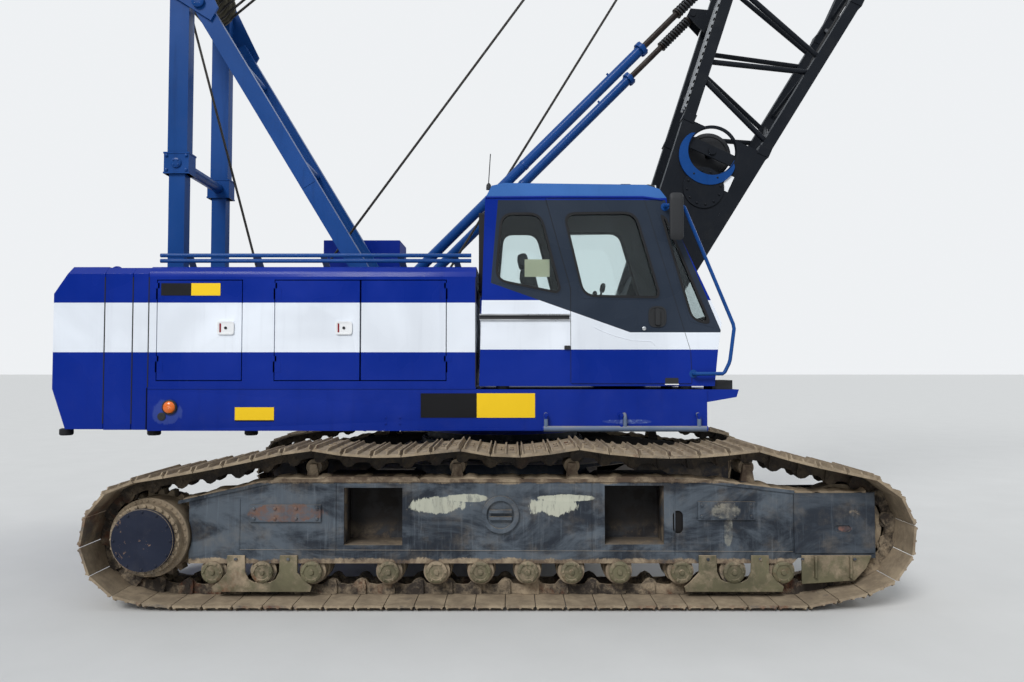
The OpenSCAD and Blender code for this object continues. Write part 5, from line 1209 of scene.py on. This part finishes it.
class CRANE_OT_boom(bpy.types.Operator):
    """Lattice boom, its inner drum, walkway strip, head sheaves and fittings"""
    bl_idname = "crane.boom"
    bl_label = "Boom"

    def execute(self, context):
        dress("boom_base", "boom", 0.006)
        dress("boom_top", "boom", 0.006)
        dress("tip_sheaves", "cast", 0.0)

        def put(shape, name, mats, slot="boom_paint", smooth=35, bevel=0.0, body="boom", replaces=()):
            shape.moved(in_boom).make(name, body, mats, slot, smooth, bevel, replaces)

        x, z = 2.330, 0.060
        flange = [(0.0355, 0.336), (0.217, 0.336), (0.225, 0.342), (0.225, 0.360), (0.217, 0.364), (0.190, 0.364),
                  (0.184, 0.356), (0.0355, 0.356)]
        drum = wound_drum(0.172, 0.3355, flange, 48)
        put(drum.moved(lambda p: p + (x, 0, z)), "boom_drum_wound", "drum winding", "drum_steel", body="boom_drum",
            replaces=("boom_drum",))
        guard = Shape()
        for s in BOTH:
            wide = 0.245 + 0.105 * np.sin(np.linspace(0, pi, 40)) ** 0.6
            for a0, a1, low, high, y0, y1 in ((64, 272, 0.232, 0.262, 0.487, 0.512),
                                              (70, 262, 0.243, wide, 0.5305, 0.552)):
                t = np.linspace(radians(a0), radians(a1), 40)
                rows = [xz(np.stack([x + r * np.cos(t), z + r * np.sin(t)], 1), s * y)
                        for r, y in ((low, y0), (high, y0), (high, y1), (low, y1))]
                guard.grid(np.array(rows).transpose(1, 0, 2))
        put(guard, "boom_drum_guard", "tube", bevel=0.003)
        walk = Shape()
        for s0, s1 in ((2.62, 4.54), (4.56, 6.38)):
            for y in (-0.515, -0.345, -0.43):
                walk.bar((s0, y, half_depth(s0) + 0.014), (s1, y, half_depth(s1) + 0.014), 0.010, 0.022, UP)
        for s in np.arange(2.65, 6.35, 0.072):
            walk.block((s, -0.520, half_depth(s) + 0.006), (s + 0.034, -0.340, half_depth(s) + 0.020))
        put(walk, "boom_walkway_strip", "grating")
        fit = Shape()
        for y in (-0.475, 0.475):
            for z in (-0.645, 0.645):
                for dz in (-0.034, 0.034):
                    fit.block((6.425, y - 0.068, z + dz - 0.016), (6.575, y + 0.068, z + dz + 0.016))
                fit.lathe([(0.028, -0.082), (0.030, -0.078), (0.030, 0.078), (0.028, 0.082)], (6.5, y, z), LEFT, 20)
        for s in (2.54, 4.30):
            for side in BOTH:
                z = side * (half_depth(s) - 0.055)
                for y in (-0.475, 0.475):
                    fit.block((s - 0.045, y - 0.062, z - 0.062), (s + 0.045, y + 0.062, z + 0.062))
        for s in BOTH:
            fit.bolt_ring((1.96, s * 0.544, -0.01), (0, s, 0), 0.165, 12, 0.012, 0.012)
            fit.lathe([(0.075, 0), (0.075, 0.010), (0.060, 0.016), (0.02, 0.016)], (0, s * 0.530, 0), (0, s, 0))
        put(fit, "boom_collars", "boom", bevel=0.004)
        plates = Shape().block((0.42, -0.5345, -0.10), (0.80, -0.528, 0.02))
        plates.block((0.46, -0.5355, -0.06), (0.62, -0.528, -0.02), 1)
        plates.block((2.02, -0.5345, -0.24), (2.18, -0.528, -0.17))
        put(plates, "boom_blank_plates", "plate_white plate_red")
        hose, s = Shape(), np.linspace(0.5, 6.3, 60)
        for k, y in enumerate((-0.38, -0.34)):
            z = 0.006 * np.sin(s * 5 + k) - np.interp(s, [0, 4.55, 6.5], [0.12, 0.58, 0.58])
            hose.tube(np.stack([s, y + 0.004 * np.sin(s * 9 + k), z], 1), 0.009, 8)
        put(hose, "boom_cables", "hose", "black_plastic", 60)
        head = Shape()
        for s in BOTH:
            out = (0, s, 0)
            head.lathe([(0.075, 0), (0.075, 0.014), (0.065, 0.020), (0.02, 0.020)], (BOOM_LEN, s * 0.445, -0.20), out)
            head.bolt_ring((BOOM_LEN, s * 0.463, -0.20), out, 0.045, 4, 0.010, 0.010)
            head.lathe([(0.060, 0), (0.060, 0.012), (0.02, 0.014)], (12.64, s * 0.445, 0), out, 24)
            head.lathe([(0.105, 0.36), (0.128, 0.364), (0.128, 0.384), (0.105, 0.388)], (12.52, 0, 0.45), out, 36)
        put(head, "boom_head_fittings", "cast")
        return {"FINISHED"}


class CRANE_OT_hook(bpy.types.Operator):
    """Hanger, limit weight, hook block, falls and hook"""
    bl_idname = "crane.hook"
    bl_label = "Hook block"

    def execute(self, context):
        dress("becket_hanger", "yellow", 0.006)
        x, z, r, foot = FALL_X, BLOCK_Z, 0.1427, BLOCK_Z - 0.385
        block, o = Shape(), (0, 0, 0)
        side = [(0.036, 0.038), (0.070, 0.038), (0.074, 0.018), (r - 0.040, 0.015), (r - 0.022, 0.030), (r, 0.030),
                (r - 0.024, 0.008)]
        block.lathe([*[(a, -b) for a, b in side], (r - 0.026, 0.0), *side[::-1]], o, LEFT, 48, 1)
        cheek = rounded([(-0.23, -0.12), (-0.15, -0.33), (0.15, -0.33), (0.23, -0.12), (0.23, 0.12), (0.12, 0.235),
                         (-0.12, 0.235), (-0.23, 0.12)], 0.07)
        for s in BOTH:
            out = (0, s, 0)
            block.plate(cheek, s * 0.052, s * 0.084)
            block.lathe([(0.075, 0.084), (0.075, 0.094), (0.060, 0.100), (0.0365, 0.110), (0.006, 0.110)], o, out)
            for px in (-0.17, 0.17):
                for pz in (-0.09, 0.09):
                    block.lathe([(0.022, 0.083), (0.022, 0.097), (0.008, 0.100)], (px, 0, pz), out, 12, 1)
        block.moved(lambda p: np.stack([x + p[:, 1], -p[:, 0], z + p[:, 2]], 1))
        block.plate(rect(x - 0.10, foot, x + 0.10, z - 0.275, 0.02), -0.13, 0.13)
        block.lathe([(0.062, -0.400), (0.070, -0.392), (0.070, -0.386), (0.045, -0.384)], (x, 0, z), UP, mat=1)
        block.make("hook_block_body", "block", "yellow cast", "hook_paint", 35, 0.003, ("hook_block",))
        for name, s in SIDES.items():
            top, low = (x, s * FALL_Y, TIP[1]), (x, s * FALL_Y, z)
            rope(f"block_fall_{name}", straight(low, top, 40), None, between=("block", "hanger", low, top))
        t = np.linspace(-pi, 0, 20)
        rope("block_wrap", np.stack([np.full(20, x), FALL_Y * np.cos(t), z + FALL_Y * np.sin(t)], 1), "block")
        centre = foot - 0.24
        t = np.radians(np.linspace(80, 365, 64))
        thick = np.interp(np.degrees(t), [80, 120, 180, 270, 330, 365], [0.043, 0.046, 0.046, 0.0455, 0.036, 0.020])
        a, b = (thick[:, None, None] * q[None, :, None] for q in ring(1.0, 16).T)
        spoke = xz(np.stack([np.cos(t), np.sin(t)], 1), 0)[:, None]
        hook = Shape().grid(np.array([x, 0, centre]) + spoke * (0.118 + a) + np.array(LEFT) * b)
        hook.lathe([(0.044, -0.135), (0.046, -0.10), (0.046, -0.055), (0.068, -0.050), (0.070, -0.040), (0.070, -0.012),
                    (0.062, -0.004), (0.0415, -0.002), (0.0415, 0.090), (0.030, 0.090)], (x, 0, foot), UP, 32)
        hook.bar((x + 0.045, 0, centre + 0.115), (x + 0.128, 0, centre + 0.025), 0.05, 0.012)
        hook.make("forged_hook", "hook", "hook", "hook_steel", 50, replaces=("hook",))
        return {"FINISHED"}


# ---------------------------------------------------------------- cab
def gasket(shape, window, y0, y1):
    """A rubber seal with rounded corners, and outside it the painted corners that cover the square opening."""
    w = sizes().gasket
    q = np.asarray(window, float)
    if np.sum(q[:, 0] * np.roll(q[:, 1], -1) - np.roll(q[:, 0], -1) * q[:, 1]) < 0:
        q = q[::-1]
    shape.frame(rounded(offset(q, -w), 0.09), rounded(offset(q, 0.004 - w * 0.35), 0.11), y0, y1)
    shape.frame(rounded(offset(q, -w * 0.6), 0.10), rounded(offset(q, 0.008), 0.012), y0 + 0.0035, y1, 1)


def screen_seal(outline, out, y0, y1):
    """A flat seal that reaches out beyond an opening."""
    return Shape().frame(rounded(offset(outline, -0.022), 0.06), rounded(offset(outline, out), 0.02), y0, y1)


class CRANE_OT_cab(bpy.types.Operator):
    """Cab shell, door, seals, glass, fittings and inside"""
    bl_idname = "crane.cab"
    bl_label = "Cab"

    def execute(self, context):
        dress("cab_shell", "cab", 0.012)
        dress("cab_door", "cab")
        for slot in FRAME["nodes"]["cab_glass"].material_slots:
            slot.material = MATERIALS["glass"]
        self.seals(-HALF_W)
        self.side_fittings(-HALF_W)
        self.trim(-HALF_W)
        self.inside()
        return {"FINISHED"}

    def seals(self, y):
        seals = Shape()
        for window, proud in ((REAR_WINDOW, 0.006), (CORNER_WINDOW, 0.006), (DOOR_WINDOW, 0.012)):
            gasket(seals, window, y - proud, y + 0.040)
        for window in (REAR_WINDOW, DOOR_WINDOW):
            gasket(seals, window, *LEFT_SEAL)
        low, tilt = (1.847, 2.136), atan2(1.402 - 1.847, 3.093 - 2.136)
        c, s = cos(tilt), sin(tilt)
        screen = screen_seal(rect(-1.51, 0.07, -0.69, 0.98), 0.014, -0.05, 0.008)
        seals.take(screen.moved(lambda p: np.stack([low[0] + p[:, 1] * c + p[:, 2] * s, p[:, 0],
                                                    low[1] - p[:, 1] * s + p[:, 2] * c], 1)))
        back = screen_seal(rect(-1.44, 2.42, -0.76, 3.08), 0.012, -0.196, -0.120)
        seals.take(back.moved(lambda p: np.stack([p[:, 1] + 0.012, p[:, 0], p[:, 2]], 1)))
        seals.make("window_seals", "upper", "rubber cab", "black_plastic")
        gap = Shape().frame(rounded(offset(CAB_DOOR, -0.004), 0.02), rounded(offset(CAB_DOOR, 0.004), 0.02),
                            y - 0.002, y + 0.004)
        gap.make("door_seal", "upper", "rubber", "black_plastic")

    def side_fittings(self, y):
        fit = Shape()
        tube = [(1.380, 3.110), (1.505, 3.112), (1.530, 3.095), (1.925, 2.125), (1.932, 2.085), (1.897, 1.830),
                (1.888, 1.800), (1.852, 1.728), (1.835, 1.715), (1.615, 1.714)]
        fit.tube([(1.380, y, 3.110), (1.380, y - 0.045, 3.110), *xz(tube, y - 0.060),
                  (1.606, y - 0.045, 1.714), (1.606, y, 1.714)], 0.0155)
        for x, z in ((1.38, 3.11), (1.606, 1.714)):
            fit.lathe([(0.034, 0), (0.034, 0.006), (0.018, 0.008)], (x, y, z), RIGHT, 20)
        fit.tube([(1.445, y - dy, z) for dy, z in ((0.055, 3.110), (0.12, 3.105), (0.160, 3.08), (0.172, 2.99))],
                 0.010, 10, 1)
        mirror = rect(1.384, 2.803, 1.498, 3.192, 0.035)
        fit.swelling(mirror, [(y - dy, k) for dy, k in (
            (0.160, 0.90), (0.164, 0.985), (0.176, 1.0), (0.186, 0.93), (0.190, 0.70))], 1)
        fit.plate(shrunk(mirror, 0.88), y - 0.1598, y - 0.1585, 2)  # its glass, towards the cab
        fit.plate(rect(-0.170, 2.166, 0.580, 2.206), y - 0.0035, y, 1)
        for z0, z1 in ((2.160, 2.168), (2.200, 2.212)):
            fit.plate(rect(-0.172, z0, 0.582, z1, 0.003), y - 0.016, y, 3)
        fit.plate(rect(0.535, 1.915, 0.585, 1.948, 0.008), y - 0.012, y, 1)
        handle = rect(1.235, 2.100, 1.385, 2.276, 0.065)
        fit.frame(shrunk(handle, 0.86), handle, y - 0.004, y - 0.013, 1)
        fit.plate(shrunk(handle, 0.88), y - 0.004, y - 0.0075, 1)
        fit.plate(rect(1.290, 2.118, 1.330, 2.258, 0.016), y - 0.009, y - 0.032, 1)
        fit.lathe([(0.016, 0), (0.016, 0.010), (0.010, 0.012)], (1.199, y - 0.005, 2.090), RIGHT, 18, 3)
        fit.make("cab_side_fittings", "upper", "tube plastic mirror bright", "black_plastic", 38,
                 replaces=("cab_fittings",))

    def trim(self, y):
        body = Shape()
        body.tube([(-0.12, y - 0.002, 3.190), (0.40, y - 0.004, 3.194), (1.20, y - 0.004, 3.192),
                   (1.36, y - 0.002, 3.17)], 0.009, 8)
        body.tube(xz([(0.784, 2.102), (0.870, 2.060), (0.963, 2.027), (1.096, 1.992), (1.259, 1.983), (1.297, 1.945)],
                     y - 0.004), 0.005, 8, 2)
        body.plate(rect(1.371, 1.628, 1.482, 1.680, 0.006), y - 0.0075, y - 0.002, 1)
        body.block((1.369, y - 0.011, 1.622), (1.484, y - 0.002, 1.630), 3)
        body.block((1.776, y + 0.05, 1.583), (1.945, y + 0.35, 1.660), 1)
        body.block((0.206, -1.572, 2.526), (0.415, -1.569, 2.672), 4)
        body.make("cab_trim", "upper", "blue plastic cab plate_white card", "blue_paint", 38)
        lamp = Shape().cushion((1.02, -1.48, 3.300), (1.12, -1.38, 3.335), 0.012)
        for yy in (-1.30, -0.90):
            lamp.lathe([(0.052, 0), (0.056, 0.02), (0.050, 0.07), (0.02, 0.085)], (1.27, yy, 3.315), AHEAD, 20)
            lamp.lathe([(0.048, -0.004), (0.048, 0.004), (0.006, 0.006)], (1.352, yy, 3.315), AHEAD, 20, 1)
        lamp.make("roof_lamps", "upper", "plastic clear_lamp", "black_plastic")
        aerial = Shape().tube([(-0.10, -1.45, 3.29), (-0.10, -1.45, 3.36), (-0.085, -1.45, 3.60)], 0.004, 8)
        aerial.lathe([(0.022, 0), (0.020, 0.04), (0.010, 0.055)], (-0.10, -1.45, 3.29), UP, 14)
        aerial.make("cab_aerial", "upper", "plastic", "black_plastic", 60)

    def inside(self):
        inside, mid, f = Shape(), SEAT_Y, CAB_FLOOR

        def pad(x0, x1, y, half, z0, z1, r, mat, shape=inside):
            shape.cushion((x0, y - half, z0), (x1, y + half, z1), r, mat)

        inside.block((0.34, mid - 0.19, f), (0.74, mid + 0.19, f + 0.20), 1)
        inside.lathe([(0.16, 0.20), (0.20, 0.22), (0.20, 0.30), (0.16, 0.325)], (0.54, mid, f), UP, 24, 2)
        pad(0.30, 0.80, mid, 0.25, f + 0.31, f + 0.45, 0.05, 0)
        lean = Shape()
        pad(-0.06, 0.07, 0.0, 0.23, 0.0, 0.56, 0.05, 0, lean)
        pad(-0.045, 0.045, 0.0, 0.14, 0.575, 0.70, 0.04, 0, lean)
        inside.take(lean.moved(along((0.35, f + 0.44), 0.24, mid)))
        for s in BOTH:
            y, foot_y = mid + s * 0.33, mid + s * 0.12
            pad(0.42, 0.90, y, 0.06, f + 0.005, f + 0.615, 0.02, 1)
            inside.tube([(0.85, y, f + 0.61), (0.852, y, f + 0.70), (0.870, y, f + 0.77)], 0.009, 10, 2)
            inside.lathe([(0.016, 0.0), (0.023, 0.02), (0.022, 0.06), (0.012, 0.078)],
                         (0.868, y, f + 0.752), (0.2, 0, 1), 16, 2)
            inside.bolts([(0.60 + 0.06 * k, y + 0.02 * (k % 2), f + 0.613) for k in range(4)], UP, 0.010, 0.008, 2)
            pedal = rounded([(1.12, f + 0.02), (1.26, f + 0.09), (1.25, f + 0.11), (1.11, f + 0.04)], 0.008)
            inside.plate(pedal, foot_y - 0.05, foot_y + 0.05, 2)
        pad(1.33, 1.53, mid, 0.24, f + 0.005, f + 0.52, 0.03, 1)
        pad(1.34, 1.38, mid, 0.14, f + 0.54, f + 0.74, 0.015, 2)
        inside.tube([(1.40, mid, f + 0.50), (1.38, mid, f + 0.58)], 0.012, 8, 2)
        inside.block((0.0, -1.545, 1.6578), (1.62, -0.655, 1.662), 2)
        inside.make("cab_inside", "upper", "seat trim plastic", "black_plastic", 45, replaces=("cab_interior",))


# ---------------------------------------------------------------- stage
def studio():
    """Soft light from a world whose colour differs for what lights, mirrors and is seen."""
    world = bpy.data.worlds.new("studio")
    world.use_nodes = True
    w, nodes = Tree(world.node_tree), world.node_tree.nodes
    z = w.xyz(w.node("ShaderNodeTexCoord").outputs["Generated"])[2]
    path = w.node("ShaderNodeLightPath").outputs
    lit = w.mix(w.between(z, -0.1, 0.9), (0.45, 0.47, 0.50), (0.56, 0.59, 0.62))
    mirrored = w.mix(w.between(z, 0.05, 0.45), (0.05, 0.06, 0.07), (0.80, 0.86, 0.92))
    sky = w.fed(nodes["Background"], {"Color": w.mix(path["Is Glossy Ray"], lit, mirrored)})
    seen = w.fed(w.node("ShaderNodeBackground"), {"Color": (0.86, 0.88, 0.90), "Strength": 1.0})
    direct = w.math("MAXIMUM", path["Is Camera Ray"], path["Is Transmission Ray"])
    w.link(w.fed(w.node("ShaderNodeMixShader"), {0: direct, 1: sky, 2: seen}), nodes["World Output"].inputs[0])
    return world


class CRANE_OT_stage(bpy.types.Operator):
    """Pale floor, soft light and the camera of the photo"""
    bl_idname = "crane.stage"
    bl_label = "Stage"

    def execute(self, context):
        scene, half = context.scene, 600
        floor = Shape().add([(-half, -half, 0), (half, -half, 0), (half, half, 0), (-half, half, 0)], [(0, 1, 2, 3)])
        o = in_scene("floor", floor.mesh("floor", "floor"))
        scene.world = studio()
        for name, turn, power, spread in (("key", (50, 0, -24), 2.1, 22), ("fill", (62, 0, 120), 0.7, 40)):
            lamp = bpy.data.lights.new(name, "SUN")
            lamp.energy, lamp.angle = power, radians(spread)
            o = in_scene(name, lamp)
            o.rotation_euler = [radians(a) for a in turn]
        cam = bpy.data.cameras.new("photo_camera")
        cam.lens, cam.sensor_width, cam.clip_end = 27.56, 36.0, 300.0
        o = in_scene("photo_camera", cam)
        o.location, o.rotation_euler = (0.10, -8.12, 1.745), (radians(92.12), 0, 0)
        scene.camera = o
        scene.view_settings.view_transform = "Standard"
        return {"FINISHED"}


# ---------------------------------------------------------------- add-on
STEPS = (CRANE_OT_tracks, CRANE_OT_running_gear, CRANE_OT_houses, CRANE_OT_cab, CRANE_OT_gantry,
         CRANE_OT_drums, CRANE_OT_boom, CRANE_OT_hook, CRANE_OT_stage)


class CRANE_PT_panel(bpy.types.Panel):
    """Lists the steps that build the crane's looks"""
    bl_idname = "CRANE_PT_panel"
    bl_label = "Crane"
    bl_space_type = "VIEW_3D"
    bl_region_type = "UI"
    bl_category = "Crane"

    def draw(self, context):
        for step in STEPS:
            self.layout.operator(step.bl_idname)
        for name in CraneSizes.__annotations__:
            self.layout.prop(context.scene.crane_sizes, name)
        for name in CraneColours.__annotations__:
            self.layout.prop(context.scene.crane_colours, name)


CLASSES = (CraneColours, CraneSizes, *STEPS, CRANE_PT_panel)


def register():
    for c in CLASSES:
        bpy.utils.register_class(c)
    bpy.types.Scene.crane_colours = bpy.props.PointerProperty(type=CraneColours)
    bpy.types.Scene.crane_sizes = bpy.props.PointerProperty(type=CraneSizes)


def unregister():
    del bpy.types.Scene.crane_sizes
    del bpy.types.Scene.crane_colours
    for c in reversed(CLASSES):
        bpy.utils.unregister_class(c)


def main():
    register()
    make_materials()
    for step in STEPS:
        group_name, name = step.bl_idname.split(".")
        if getattr(getattr(bpy.ops, group_name), name)() != {"FINISHED"}:
            raise RuntimeError(f"{step.bl_label} wasn't built")


if __name__ == "__main__":
    main()
